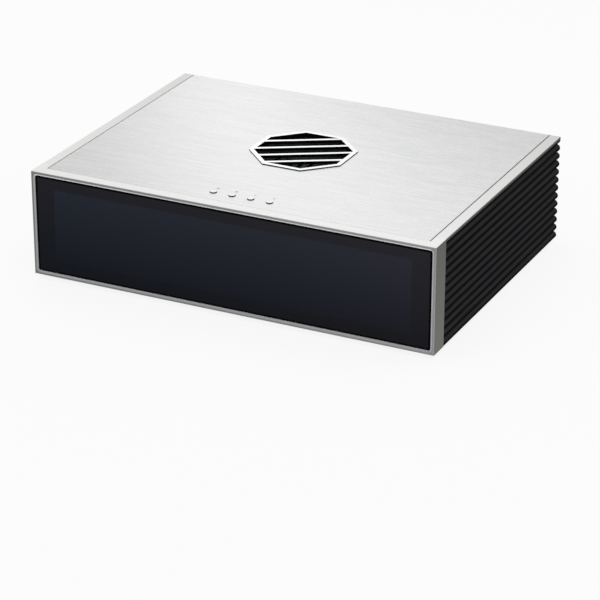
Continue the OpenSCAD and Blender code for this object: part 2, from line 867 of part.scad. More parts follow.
module button_board() {
    color("darkgreen") difference() {
        box(-button_board_w / 2, button_board_w / 2, button_y - button_board_d / 2,
            button_y + button_board_d / 2, z_button_board, z_button_board + board_t);
        at_each(button_posts) rod_z(screw_clear_r, z_button_board - cut, z_button_board + board_t + cut);
    }
}

module button_board_posts() {
    z0 = z_button_board + board_t;
    color("gold") at_each(button_posts) difference() {
        rod_z(button_post_r, z0, z_under);
        rod_z(screw_tap_r, z0 - cut, z0 + screw_grip);
    }
}

// Feet and screws

module feet() {
    r = foot_d / 2;
    z_seat = pad_proud + pad_seat;
    color([0.15, 0.15, 0.15]) at_each(foot_places) rotate_extrude() polygon([
        [screw_clear_r, z_foot_screw], [foot_well_r, z_foot_screw], [foot_well_r, pad_proud],
        [pad_hole_r - fit, pad_proud], [pad_hole_r - fit, z_seat], [pad_r + fit, z_seat],
        [pad_r + fit, pad_proud], [r - foot_c, pad_proud], [r, pad_proud + foot_c], [r, z_bot],
        [screw_clear_r, z_bot]]);
}

module foot_pads() {
    color([0.05, 0.05, 0.05]) at_each(foot_places) difference() {
        rod_z(pad_r, 0, pad_proud + pad_seat);
        rod_z(pad_hole_r, -cut, pad_proud + pad_seat + cut);
    }
}

module foot_screws() {
    color("dimgray") at_each(foot_places)
        screw_from_below(z_foot_screw, z_floor - z_foot_screw + foot_screw_past);
}

module case_screws() {
    color([0.1, 0.1, 0.1]) {
        both_sides() {
            at_each(side_places) screw_from_below(z_bot, base_t + ledge_t - screw_short);
            for (z = rear_screw_z) translate([rear_screw_x, y_back, z])
                rotate([-90, 0, 0]) pan_screw(back_t + screw_grip - screw_short);
            for (z = bracket_z, y = bracket_y) translate([x_in - bracket_t, y, z])
                rotate([0, -90, 0]) pan_screw(bracket_t + side_wall - blind_wall - screw_short);
        }
        at_each(front_places) screw_from_below(z_bot, base_t + ledge_t - screw_short);
    }
}

// Rear sockets

module mains_inlet() {
    face = y_back + inlet_flange[2];
    w = inlet_mouth[0] / 2;
    h = inlet_mouth[1] / 2;
    c = inlet_corner;
    color([0.06, 0.06, 0.06]) difference() {
        union() {
            rear_box(inlet_place, inlet_flange, y_back, face);
            rear_box(inlet_place, inlet_body, y_back - inlet_body[2], y_back + fuse);
        }
        along_y(face - inlet_mouth[2], face + cut) translate(inlet_place)
            polygon([[-w, -h], [w, -h], [w, h - c], [w - c, h], [c - w, h], [-w, h - c]]);
    }
}

module mains_pins() {
    y0 = y_back + inlet_flange[2] - inlet_mouth[2];
    color("gold") for (i = [-1, 0, 1])
        rear_box(inlet_place + [i * inlet_pin_x, inlet_pin_z * (i == 0 ? 1 : -1)], inlet_pin,
                 y0, y0 + inlet_pin[2]);
}

module rocker_housing() {
    face = y_back + rocker_flange[2];
    reach = rocker_body[0] / 2 - trunnion_wall;
    color([0.06, 0.06, 0.06]) difference() {
        union() {
            rear_box(rocker_place, rocker_flange, y_back, face);
            rear_box(rocker_place, rocker_body, y_back - rocker_body[2], y_back + fuse);
        }
        rear_box(rocker_place, rocker_mouth, y_back - rocker_mouth[2], face + cut);
        rod_x(y_back - rocker_pivot_in, rocker_place[1], trunnion_r + trunnion_gap,
              rocker_place[0] - reach, rocker_place[0] + reach);
    }
}

// Stands switched off: the upper half of the rocker stands out
module power_rocker() {
    end = rocker_r + cut;
    reach = rocker_body[0] / 2 - trunnion_wall - trunnion_play;
    color([0.12, 0.12, 0.12]) translate([rocker_place[0], y_back - rocker_pivot_in, rocker_place[1]]) {
        rotate([-rocker_tilt, 0, 0]) along_x(-rocker_w / 2, rocker_w / 2) intersection() {
            circle(rocker_r);
            polygon([[rocker_tip, -end], [rocker_tip - rocker_dish, 0], [rocker_tip, end],
                     [-rocker_toe, end], [-rocker_heel, 0], [-rocker_toe, -end]]);
        }
        rod_x(0, 0, trunnion_r, -reach, reach);
    }
}

module xlr_shells() {
    color([0.75, 0.75, 0.77]) for (p = xlr_places) difference() {
        union() {
            along_y(y_back, y_back + xlr_flange[2]) translate(p)
                round_rect(xlr_flange[0], xlr_flange[1], xlr_corner);
            rod_y(p[0], p[1], xlr_shell_r, y_back - xlr_depth, y_back + fuse);
        }
        rod_y(p[0], p[1], xlr_bore / 2, y_back - xlr_depth - cut, y_back + xlr_flange[2] + cut);
    }
}

module xlr_inserts() {
    y0 = y_back - xlr_depth;
    color([0.08, 0.08, 0.08]) for (p = xlr_places)
        rod_y(p[0], p[1], xlr_bore / 2 - xlr_insert_gap, y0, y0 + xlr_insert_t);
}

module xlr_pins() {
    color("gold") for (p = xlr_places, a = [90, 210, 330])
        rod_y(p[0] + xlr_pin_ring * cos(a), p[1] + xlr_pin_ring * sin(a), xlr_pin_r,
              y_back - xlr_depth + xlr_insert_t, y_back - xlr_pin_in);
}

module phono_barrels() {
    r = phono_d / 2;
    color("gold") for (x = phono_x) difference() {
        union() {
            rod_y(x, phono_z, phono_shank_r, y_back - phono_shank, y_back + fuse);
            rod_y(x, phono_z, phono_flange_r, y_back, y_back + phono_flange_t);
            rod_y(x, phono_z, r, y_back + phono_flange_t - fuse, y_phono_end);
        }
        rod_y(x, phono_z, r - phono_wall, y_back - phono_shank - cut, y_phono_end + cut);
    }
}

module phono_insulators() {
    r = phono_d / 2 - phono_wall - phono_insert_gap;
    color([0.85, 0.85, 0.85]) for (x = phono_x) difference() {
        rod_y(x, phono_z, r, y_back - phono_shank, y_phono_end - phono_insert_in);
        rod_y(x, phono_z, phono_bore / 2, y_back, y_phono_end + cut);
    }
}

module optical_jacks() {
    reach = optical_mouth[0] / 2 + flap_pin_reach + flap_pin_play;
    color([0.05, 0.05, 0.05]) for (p = optical_places) difference() {
        rear_box(p, optical_body, y_socket - optical_body[2], y_socket);
        rear_box(p, optical_mouth, y_socket - optical_mouth[2], y_socket + cut);
        rod_x(y_socket - flap_in, p[1] + optical_mouth[1] / 2 - flap_drop, flap_pin_r + flap_pin_gap,
              p[0] - reach, p[0] + reach);
    }
}

// Shutter of an optical socket: hangs closed from its pin and swings in
module flap(p) {
    w = optical_mouth[0] / 2 - flap_gap;
    reach = optical_mouth[0] / 2 + flap_pin_reach;
    y_pin = y_socket - flap_in;
    z_pin = p[1] + optical_mouth[1] / 2 - flap_drop;
    color([0.1, 0.1, 0.1]) {
        box(p[0] - w, p[0] + w, y_pin - flap_t / 2, y_pin + flap_t / 2,
            p[1] - optical_mouth[1] / 2 + flap_gap, z_pin);
        rod_x(y_pin, z_pin, flap_pin_r, p[0] - reach, p[0] + reach);
    }
}

module optical_out_flap() { flap(optical_places[0]); }
module optical_in_flap() { flap(optical_places[1]); }

// A socket that stands on the main board and shows through the rear panel
module board_socket(x, size) {
    box(x - size[0] / 2, x + size[0] / 2, y_socket - size[2], y_socket, z_parts, z_parts + size[1]);
}

// The tongue in a socket's slot
module tongue(place, size, slot_depth) {
    y0 = y_socket - slot_depth;
    rear_box(place, size, y0 - cut, y0 + size[2]);
}

module lan_jack() {
    y0 = y_socket - lan_mouth[2];
    z_mouth = z_parts + lan_mouth_up + lan_mouth[1] / 2;
    z_latch = z_parts + lan_mouth_up + lan_mouth[1] + lan_latch[1] / 2 - fuse;
    color([0.7, 0.7, 0.72]) difference() {
        board_socket(lan_x, lan_body);
        rear_box([lan_x, z_mouth], lan_mouth, y0, y_socket + cut);
        rear_box([lan_x, z_latch], lan_latch, y0, y_socket + cut);
    }
}

module usb_jacks() {
    color([0.7, 0.7, 0.72]) difference() {
        board_socket(usb_x, usb_body);
        for (i = [0, 1]) let (z = z_parts + usb_body[1] * (i + 0.5) / 2) difference() {
            rear_box([usb_x, z], usb_slot, y_socket - usb_slot[2], y_socket + cut);
            tongue([usb_x, z + usb_tongue_up], usb_tongue, usb_slot[2]);
        }
    }
}

module hdmi_jack() {
    z = z_parts + hdmi_body[1] / 2;
    w = hdmi_slot[0] / 2;
    h = hdmi_slot[1] / 2;
    c = hdmi_corner;
    color([0.7, 0.7, 0.72]) difference() {
        board_socket(hdmi_x, hdmi_body);
        difference() {
            along_y(y_socket - hdmi_slot[2], y_socket + cut) translate([hdmi_x, z])
                polygon([[-w, h], [w, h], [w, c[1] - h], [w - c[0], -h], [c[0] - w, -h], [-w, c[1] - h]]);
            tongue([hdmi_x, z + hdmi_tongue_up], hdmi_tongue, hdmi_slot[2]);
        }
    }
}

// Power supply

module transformer_winding() {
    r0 = toroid_bore / 2;
    w = toroid_d / 2 - r0;
    color([0.75, 0.45, 0.12]) translate([toroid_x, toroid_y, z_toroid]) rotate_extrude()
        translate([r0 + w / 2, toroid_h / 2]) round_rect(w, toroid_h, toroid_round);
}

module toroid_disc(z, t, r) {
    translate([toroid_x, toroid_y]) difference() {
        rod_z(r, z, z + t);
        rod_z(stud_r + fit, z - cut, z + t + cut);
    }
}

module transformer_pads() {
    color([0.1, 0.1, 0.1]) for (z = [z_floor, z_clamp - toroid_pad_t])
        toroid_disc(z, toroid_pad_t, toroid_d / 2 - toroid_round);
}

module transformer_clamp() {
    color([0.65, 0.65, 0.65]) toroid_disc(z_clamp, clamp_t, clamp_r);
}

module transformer_stud() {
    z_nut = z_clamp + clamp_t;
    color([0.7, 0.7, 0.7]) translate([toroid_x, toroid_y]) {
        rod_z(stud_r, z_floor, z_nut + nut_h + stud_past);
        difference() {
            rod_z(nut_r, z_nut, z_nut + nut_h, $fn = 6);
            rod_z(stud_r + nut_gap, z_nut - cut, z_nut + nut_h + cut);
        }
    }
}

module psu_board() { color("darkgreen") board(psu); }

module psu_capacitors() {
    color([0.1, 0.12, 0.3]) for (i = [0, 1], j = [0, 1])
        translate([psu[0] + psu_cap_in + i * psu_cap_pitch_x,
                   psu[1] + psu_cap_in + j * psu_cap_pitch_y, z_parts]) can(psu_cap_r, psu_cap_h);
}

module psu_heatsink() {
    color([0.08, 0.08, 0.08])
        translate([psu[0] + psu[2] - psu_sink_in, psu[1] + psu_sink_front, z_parts]) {
            cube([psu_sink_t, psu_sink_l, psu_sink_h]);
            for (y = fin_starts(psu_sink_fins, psu_sink_l, sink_fin_t)) translate([psu_sink_t - fuse, y, 0])
                cube([psu_sink_fin_l + fuse, sink_fin_t, psu_sink_h]);
        }
}

// Digital and audio boards

module main_board() { color("darkgreen") board(main); }

module chip(x, y, size) {
    box(x - size[0] / 2, x + size[0] / 2, y - size[1] / 2, y + size[1] / 2, z_parts, z_parts + size[2]);
}

module chips() {
    memory_x = soc_size[0] / 2 + memory_gap + memory_size[0] / 2;
    color([0.06, 0.06, 0.06]) {
        chip(soc_place[0], soc_place[1], soc_size);
        for (s = [-1, 1]) {
            chip(soc_place[0] + s * memory_x, soc_place[1], memory_size);
            chip(dac[0] + dac[2] / 2 + s * dac_chip_pitch / 2, dac[1] + dac[3] / 2, dac_chip);
        }
    }
}

module processor_heatsink() {
    color([0.1, 0.1, 0.1])
        translate([soc_place[0] - sink_w / 2, soc_place[1] - sink_w / 2, z_parts + soc_size[2]]) {
            cube([sink_w, sink_w, sink_base]);
            for (x = fin_starts(sink_fins, sink_w, sink_fin_t)) translate([x, 0, sink_base - fuse])
                cube([sink_fin_t, sink_w, sink_h - sink_base + fuse]);
        }
}

module dac_board() { color("darkgreen") board(dac); }

module audio_capacitors() {
    color([0.15, 0.3, 0.2]) for (i = [0 : 3], j = [0, 1])
        translate([dac[0] + audio_cap_in_x + i * audio_cap_pitch_x,
                   dac[1] + audio_cap_in_y + j * audio_cap_pitch_y, z_parts]) can(audio_cap_r, audio_cap_h);
}

module board_pillars() {
    color("gold") for (b = boards) at_each(board_corners(b)) difference() {
        rod_z(pillar_r, z_floor, z_board);
        rod_z(screw_tap_r, z_board - screw_grip, z_board + cut);
    }
}

module board_screws() {
    grip = board_t + screw_grip - screw_short;
    color("silver") {
        for (b = boards) at_each(board_corners(b)) translate([0, 0, z_parts]) pan_screw(grip);
        at_each(button_posts) screw_from_below(z_button_board, grip);
    }
}

front_frame();
front_glass();
glass_gasket();
lcd_panel();
lcd_housing();
display_tray();
display_board();
display_cable();
top_plate();
left_rail();
right_rail();
vent_grille();
vent_well();
left_side_panel();
right_side_panel();
corner_brackets();
base_plate();
rear_panel();
rear_posts();
power_button();
play_button();
volume_down_button();
volume_up_button();
switch_bodies();
button_board();
button_board_posts();
feet();
foot_pads();
foot_screws();
case_screws();
mains_inlet();
mains_pins();
rocker_housing();
power_rocker();
xlr_shells();
xlr_inserts();
xlr_pins();
phono_barrels();
phono_insulators();
optical_jacks();
optical_out_flap();
optical_in_flap();
lan_jack();
usb_jacks();
hdmi_jack();
transformer_winding();
transformer_pads();
transformer_clamp();
transformer_stud();
psu_board();
psu_capacitors();
psu_heatsink();
main_board();
chips();
processor_heatsink();
dac_board();
audio_capacitors();
board_pillars();
board_screws();
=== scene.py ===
# Network music streamer: finishes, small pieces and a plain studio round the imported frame
import math

import bmesh
import bpy
from mathutils import Matrix, Quaternion, Vector
from mathutils.bvhtree import BVHTree


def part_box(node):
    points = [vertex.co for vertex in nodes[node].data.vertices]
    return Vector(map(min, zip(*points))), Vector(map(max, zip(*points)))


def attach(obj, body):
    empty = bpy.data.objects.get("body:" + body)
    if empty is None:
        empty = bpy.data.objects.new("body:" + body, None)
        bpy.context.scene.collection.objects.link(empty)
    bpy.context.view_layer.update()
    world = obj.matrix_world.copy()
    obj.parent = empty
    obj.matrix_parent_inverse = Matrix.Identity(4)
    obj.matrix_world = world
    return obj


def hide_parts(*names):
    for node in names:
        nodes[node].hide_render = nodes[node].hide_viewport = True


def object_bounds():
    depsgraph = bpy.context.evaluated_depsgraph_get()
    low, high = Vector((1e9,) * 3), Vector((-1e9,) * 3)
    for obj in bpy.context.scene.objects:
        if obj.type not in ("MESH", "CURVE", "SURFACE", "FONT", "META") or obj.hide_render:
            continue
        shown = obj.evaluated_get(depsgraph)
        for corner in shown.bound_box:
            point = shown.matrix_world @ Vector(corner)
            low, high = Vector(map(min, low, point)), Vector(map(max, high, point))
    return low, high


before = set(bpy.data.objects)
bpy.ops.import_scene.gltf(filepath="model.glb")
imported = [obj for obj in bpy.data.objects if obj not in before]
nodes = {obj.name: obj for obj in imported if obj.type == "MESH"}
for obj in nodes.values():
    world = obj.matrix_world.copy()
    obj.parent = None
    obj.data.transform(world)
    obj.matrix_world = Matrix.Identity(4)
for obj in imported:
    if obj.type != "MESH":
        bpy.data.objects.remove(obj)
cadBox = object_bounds()
mm = 0.001
noiseSpan = (0.3, 0.7)      # most of a noise pattern's values lie between these
print("frame loaded with", len(nodes), "nodes")


def hexToLinear(code):
    # an sRGB hex colour as the linear RGBA that shaders take
    parts = [int(code[i:i + 2], 16) / 255 for i in (0, 2, 4)]
    return [c / 12.92 if c <= 0.04045 else ((c + 0.055) / 1.055) ** 2.4 for c in parts] + [1]


def fill(tree, node, inputs):
    # each input takes another node's output, a hex colour or a plain value
    for name, value in inputs.items():
        if isinstance(value, bpy.types.NodeSocket):
            tree.links.new(value, node.inputs[name])
        elif isinstance(value, str) and node.inputs[name].type == "RGBA":
            node.inputs[name].default_value = hexToLinear(value)
        else:
            node.inputs[name].default_value = value


def addNode(tree, kind, inputs=None, out=0, **settings):
    node = tree.nodes.new(kind)
    for name, value in settings.items():
        setattr(node, name, value)
    fill(tree, node, inputs or {})
    return node.outputs[out]


def newMaterial(name, values):
    material = bpy.data.materials.new(name)
    material.use_nodes = True
    tree = material.node_tree
    shader = tree.nodes["Principled BSDF"]
    fill(tree, shader, values)
    return material, tree, shader


def setMaterial(piece, material):
    piece.data.materials.clear()
    piece.data.materials.append(material)


def axesOf(tree, coordinate):
    # X, Y and Z of a texture coordinate
    vector = addNode(tree, "ShaderNodeTexCoord", out=coordinate)
    return addNode(tree, "ShaderNodeSeparateXYZ", {"Vector": vector}).node.outputs


def grain(tree, sizeMm, stretch=(1, 1, 1), detail=3.0):
    # noise with blobs about sizeMm across, drawn out along an axis by stretch
    point = addNode(tree, "ShaderNodeTexCoord", out="Object")
    scale = [1 / (sizeMm * mm * s) for s in stretch]
    point = addNode(tree, "ShaderNodeMapping", {"Vector": point, "Scale": scale})
    return addNode(tree, "ShaderNodeTexNoise", {"Vector": point, "Scale": 1.0, "Detail": detail}, "Fac")


def twoTone(tree, pattern, first, second, start=noiseSpan[0], stop=noiseSpan[1]):
    # one colour turns into the other while the pattern goes from start to stop
    share = addNode(tree, "ShaderNodeMapRange", {"Value": pattern, "From Min": start, "From Max": stop})
    return addNode(tree, "ShaderNodeMix", {0: share, 6: first, 7: second}, 2, data_type="RGBA")


def surface(tree, shader, colour, pattern, roughness, bumpMm):
    # roughness and relief from the same pattern as the colour
    rough = addNode(tree, "ShaderNodeMapRange", {
        "Value": pattern, "From Min": noiseSpan[0], "From Max": noiseSpan[1],
        "To Min": roughness[0], "To Max": roughness[1]})
    bump = addNode(tree, "ShaderNodeBump", {"Height": pattern, "Distance": bumpMm * mm})
    fill(tree, shader, {"Base Color": colour, "Roughness": rough, "Normal": bump})


def startFinish(look):
    material, tree, shader = newMaterial(look["name"], {
        "Metallic": look["metallic"], "Specular IOR Level": look.get("specular", 0.5)})
    pattern = grain(tree, look["grainMm"], look.get("stretch", (1, 1, 1)))
    return material, tree, shader, pattern


def grainFinish(look):
    material, tree, shader, pattern = startFinish(look)
    colour = twoTone(tree, pattern, look["dark"], look["light"])
    surface(tree, shader, colour, pattern, look["roughness"], look["bumpMm"])
    return material


# How far a face's normal turns while one tone gives way to the next; a bevel looks half forwards
normalSpans = {"side": (0.8, 0.95), "bevelY": -math.sqrt(0.5), "bevelWithin": 0.2,
               "bevelUp": (-0.5, 0.5), "bevelRight": (0.2, 0.6)}


def paintedLightByFacing(look):
    # painted light and shade: colour by the way a face looks: up, to the front or rear, or to the sides,
    # as lit and shaded copies of one finish
    material, tree, shader, pattern = startFinish(look)
    place, facing = axesOf(tree, "Object"), axesOf(tree, "Normal")
    low, high = cadBox
    up = twoTone(tree, pattern, look["upDark"], look["upLight"])
    # painted shade: the up-facing tone darkens towards the rear
    if "upRearPaintedShade" in look:
        up = twoTone(tree, place["Y"], up, look["upRearPaintedShade"], low.y, high.y)
    front, side = look["front"], look["side"]
    # painted light: the front tone lightens towards the right
    if "frontRightPaintedLight" in look:
        front = twoTone(tree, place["X"], front, look["frontRightPaintedLight"], low.x, high.x)
    # painted shade: the side tone darkens towards the top
    if "sideHighPaintedShade" in look:
        side = twoTone(tree, place["Z"], side, look["sideHighPaintedShade"], low.z, high.z)
    sideways = addNode(tree, "ShaderNodeMath", {0: facing["X"]}, operation="ABSOLUTE")
    # painted shade: walls that look to the front or sides take darker tones than the lit top
    wall = twoTone(tree, sideways, front, side, *normalSpans["side"])
    # painted highlight on the bevel round the glass: lightest on the top bevel, darker on the bottom and
    # left ones
    if "paintedBevelLow" in look:
        slanted = addNode(tree, "ShaderNodeMath", {
            0: facing["Y"], 1: normalSpans["bevelY"], 2: normalSpans["bevelWithin"]}, operation="COMPARE")
        bevel = twoTone(tree, facing["Z"], look["paintedBevelHigh"], look["paintedBevelLow"], *normalSpans["bevelUp"])
        bevel = twoTone(tree, facing["X"], bevel, look["paintedBevelLeft"], *normalSpans["bevelRight"])
        # the walls' painted shade takes in the bevel's painted highlight
        wall = twoTone(tree, slanted, wall, bevel, 0, 1)
    # painted light: faces that look up take the lit tone
    colour = twoTone(tree, facing["Z"], wall, up, *look["upRange"])
    surface(tree, shader, colour, pattern, look["roughness"], look["bumpMm"])
    return material


# Frame: blasted satin anodising with light and shade painted by facing: painted bright where it looks up,
# a painted mid grey shade in front, painted lighter to the right, a painted darker olive grey shade at the
# sides, darker towards the top, and a painted highlight on the cut bevel round the glass
frameAnodisedPaintedLight = paintedLightByFacing({
    "name": "satin anodised aluminium with painted light", "metallic": 0.5, "upDark": "EEEEED", "upLight": "FAFAF8",
    "front": "808082", "frontRightPaintedLight": "959597", "side": "6D6E67", "sideHighPaintedShade": "545550",
    "paintedBevelLow": "AEAEB0", "paintedBevelHigh": "F0F0F2", "paintedBevelLeft": "B0B0B2",
    "upRange": (0.65, 0.95), "grainMm": 0.9, "bumpMm": 0.012, "roughness": (0.46, 0.58)})

# Rails: the same blasting, with painted shade a little darker to the rear, and their sides painted dark as
# the shade of the joint
railAnodisedPaintedShade = paintedLightByFacing({
    "name": "satin aluminium with painted shade", "metallic": 0.5,
    "upDark": "ECECEB", "upLight": "F8F8F6", "upRearPaintedShade": "DCDCDB",
    "front": "868688", "side": "2C2C29", "upRange": (0.65, 0.95),
    "grainMm": 0.9, "bumpMm": 0.012, "roughness": (0.46, 0.58)})

# Vent: cut bright on top, with its inner walls painted near black as painted shade so that the gaps read
# dark
ventAluminiumPaintedShade = paintedLightByFacing({
    "name": "cut aluminium with painted shade", "metallic": 1.0, "upDark": "F2F2F1", "upLight": "FAFAFA",
    "front": "2A2A2C", "side": "2A2A2C", "upRange": (0.4, 0.8),
    "grainMm": 1.2, "stretch": (6, 1, 1), "bumpMm": 0.006, "roughness": (0.3, 0.38)})

# Ribbed sides: extruded and dyed black, with faint die lines along them, a painted dull sheen
# on the upper half of each rib and painted deep shade below it
blackAnodisedPaintedSheen = paintedLightByFacing({
    "name": "black anodised aluminium with painted sheen and shade", "metallic": 0.0, "specular": 0.001,
    "upDark": "373739", "upLight": "414143",
    "front": "030304", "side": "030304", "upRange": (0.05, 0.8),
    "grainMm": 0.7, "stretch": (1, 80, 1), "bumpMm": 0.012, "roughness": (0.32, 0.44)})


# Top plate: long hair lines along the width, broken up by short ticks and slow cloudy bands
brushLook = {
    "lineDark": "D3D3D4", "lineLight": "F1F1F1", "bandDark": "E0E1E2", "bandLight": "E9E9E9",
    "lineMm": 1.1,          # a real hair line is near 0.05 mm; drawn coarser so that it shows
    "lineLength": 28, "lineDetail": 5.0, "tickLength": 2.5, "tickShare": 0.45, "contrast": (0.36, 0.64),
    "bandMm": 14, "bandLength": 6, "bandDetail": 2.0, "bandShare": 0.35,
    # painted shade: the cut edges are painted dark for the shade of the joints
    "wall": "2C2C2D", "wallRange": (0.4, 0.8),      # the cut edges lie in the dark of the joints
    # painted shade: a dark line along each side edge, beside each rail, left and right, for the shade of
    # the seam
    "seamPaintedShade": "4A4A4B", "seamPaintedShadeMm": (0.35, 0.65), "seamPaintedShadeBlurMm": 0.1,
    "bumpMm": 0.006, "roughness": (0.34, 0.46)}


def brushedAnodised(look):
    material, tree, shader = newMaterial("brushed anodised aluminium with painted seam shade", {"Metallic": 1.0})
    lines = grain(tree, look["lineMm"], (look["lineLength"], 1, 1), look["lineDetail"])
    ticks = grain(tree, look["lineMm"], (look["tickLength"], 1, 1))
    lines = addNode(tree, "ShaderNodeMix", {0: look["tickShare"], 2: lines, 3: ticks})
    bands = grain(tree, look["bandMm"], (look["bandLength"], 1, 1), look["bandDetail"])
    hair = twoTone(tree, lines, look["lineDark"], look["lineLight"], *look["contrast"])
    cloud = twoTone(tree, bands, look["bandDark"], look["bandLight"])
    face = addNode(tree, "ShaderNodeMix", {0: look["bandShare"], 6: hair, 7: cloud}, 2, data_type="RGBA")
    left, right = (seamPaintedShade * mm for seamPaintedShade in look["seamPaintedShadeMm"])
    sideways = axesOf(tree, "Object")["X"]
    sideways = addNode(tree, "ShaderNodeMath", {0: sideways, 1: (left - right) / 2}, operation="SUBTRACT")
    sideways = addNode(tree, "ShaderNodeMath", {0: sideways}, operation="ABSOLUTE")
    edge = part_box("top_plate")[1].x - (left + right) / 2
    # painted shade of the seam: a dark line along each side edge
    face = twoTone(tree, sideways, face, look["seamPaintedShade"], edge, edge + look["seamPaintedShadeBlurMm"] * mm)
    # painted shade on the cut edges, by the way a face looks
    colour = twoTone(tree, axesOf(tree, "Normal")["Z"], look["wall"], face, *look["wallRange"])
    surface(tree, shader, colour, lines, look["roughness"], look["bumpMm"])
    return material


# Buttons: turned in the lathe, with fine rings round each one's own centre, and painted shade on their
# side walls
buttonNames = ["power_button", "play_button", "volume_down_button", "volume_up_button"]
buttonLook = {"dark": "D0D0D0", "light": "ECECEB", "wall": "101011", "wallRange": (0.72, 0.93),
              "ringMm": 0.55, "bumpMm": 0.008, "roughness": (0.25, 0.36)}


def turnedAluminium(look):
    centres = [sum(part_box(name), Vector()) / 2 for name in buttonNames]
    pitch = centres[1].x - centres[0].x
    material, tree, shader = newMaterial("turned aluminium", {"Metallic": 1.0})
    place = axesOf(tree, "Object")
    start = centres[0].x - pitch / 2
    along = addNode(tree, "ShaderNodeMath", {0: place["X"], 1: start}, operation="SUBTRACT")
    along = addNode(tree, "ShaderNodeMath", {0: along, 1: pitch}, operation="FLOORED_MODULO")
    along = addNode(tree, "ShaderNodeMath", {0: along, 1: pitch / 2}, operation="SUBTRACT")
    across = addNode(tree, "ShaderNodeMath", {0: place["Y"], 1: centres[0].y}, operation="SUBTRACT")
    flat = addNode(tree, "ShaderNodeCombineXYZ", {"X": along, "Y": across})
    radius = addNode(tree, "ShaderNodeVectorMath", {0: flat}, "Value", operation="LENGTH")
    perMetre = 2 * math.pi / (look["ringMm"] * mm)
    turns = addNode(tree, "ShaderNodeMath", {0: radius, 1: perMetre}, operation="MULTIPLY")
    # the sine runs from -1 to 1, the tones from 0 to 1
    rings = addNode(tree, "ShaderNodeMath", {0: turns}, operation="SINE")
    rings = addNode(tree, "ShaderNodeMapRange", {"Value": rings, "From Min": -1.0})
    face = twoTone(tree, rings, look["dark"], look["light"], 0, 1)
    # painted shade: the side walls are painted near black
    colour = twoTone(tree, axesOf(tree, "Normal")["Z"], look["wall"], face, *look["wallRange"])
    surface(tree, shader, colour, rings, look["roughness"], look["bumpMm"])
    return material


# Phono insulators: moulded rings in the usual channel colours, by their place along the panel
insulatorLook = {"left": "E9E6DE", "right": "B3161B", "digital": "1E1E20", "firstXMm": 183, "pitchMm": 18,
                 "digitalBelowMm": 100, "grainMm": 0.6, "bumpMm": 0.01, "roughness": (0.36, 0.46)}


def socketPlastic(look):
    pitch, digitalBelow = look["pitchMm"] * mm, look["digitalBelowMm"] * mm
    start = look["firstXMm"] * mm + pitch / 2
    material, tree, shader = newMaterial("moulded socket plastic", {})
    along = axesOf(tree, "Object")["X"]
    steps = addNode(tree, "ShaderNodeMath", {0: start, 1: along}, operation="SUBTRACT")
    pairs = addNode(tree, "ShaderNodeMath", {0: steps, 1: 2 * pitch}, operation="DIVIDE")
    # the second half of each pair is a right channel
    second = addNode(tree, "ShaderNodeMath", {0: pairs}, operation="FRACT")
    second = addNode(tree, "ShaderNodeMath", {0: second, 1: 0.5}, operation="GREATER_THAN")
    digital = addNode(tree, "ShaderNodeMath", {0: along, 1: digitalBelow}, operation="LESS_THAN")
    colour = twoTone(tree, second, look["left"], look["right"], 0, 1)
    colour = twoTone(tree, digital, colour, look["digital"], 0, 1)
    surface(tree, shader, colour, grain(tree, look["grainMm"]), look["roughness"], look["bumpMm"])
    return material


# Circuit boards: green solder mask with slightly raised tracks under it
boardLook = {"mask": "0C3B22", "track": "17552F", "trackMm": 4.0, "trackRange": (0.45, 0.35),
             "bumpMm": 0.05, "roughness": (0.28, 0.36)}


def solderMask(look):
    material, tree, shader = newMaterial("green solder mask", {})
    point = addNode(tree, "ShaderNodeTexCoord", out="Object")
    cells = addNode(tree, "ShaderNodeTexVoronoi", {"Vector": point, "Scale": 1 / (look["trackMm"] * mm)},
                    "Distance", distance="MANHATTAN")
    rim, flat = look["trackRange"]
    tracks = addNode(tree, "ShaderNodeMapRange", {"Value": cells, "From Min": rim, "From Max": flat})
    colour = twoTone(tree, tracks, look["mask"], look["track"], 0, 1)
    surface(tree, shader, colour, tracks, look["roughness"], look["bumpMm"])
    return material


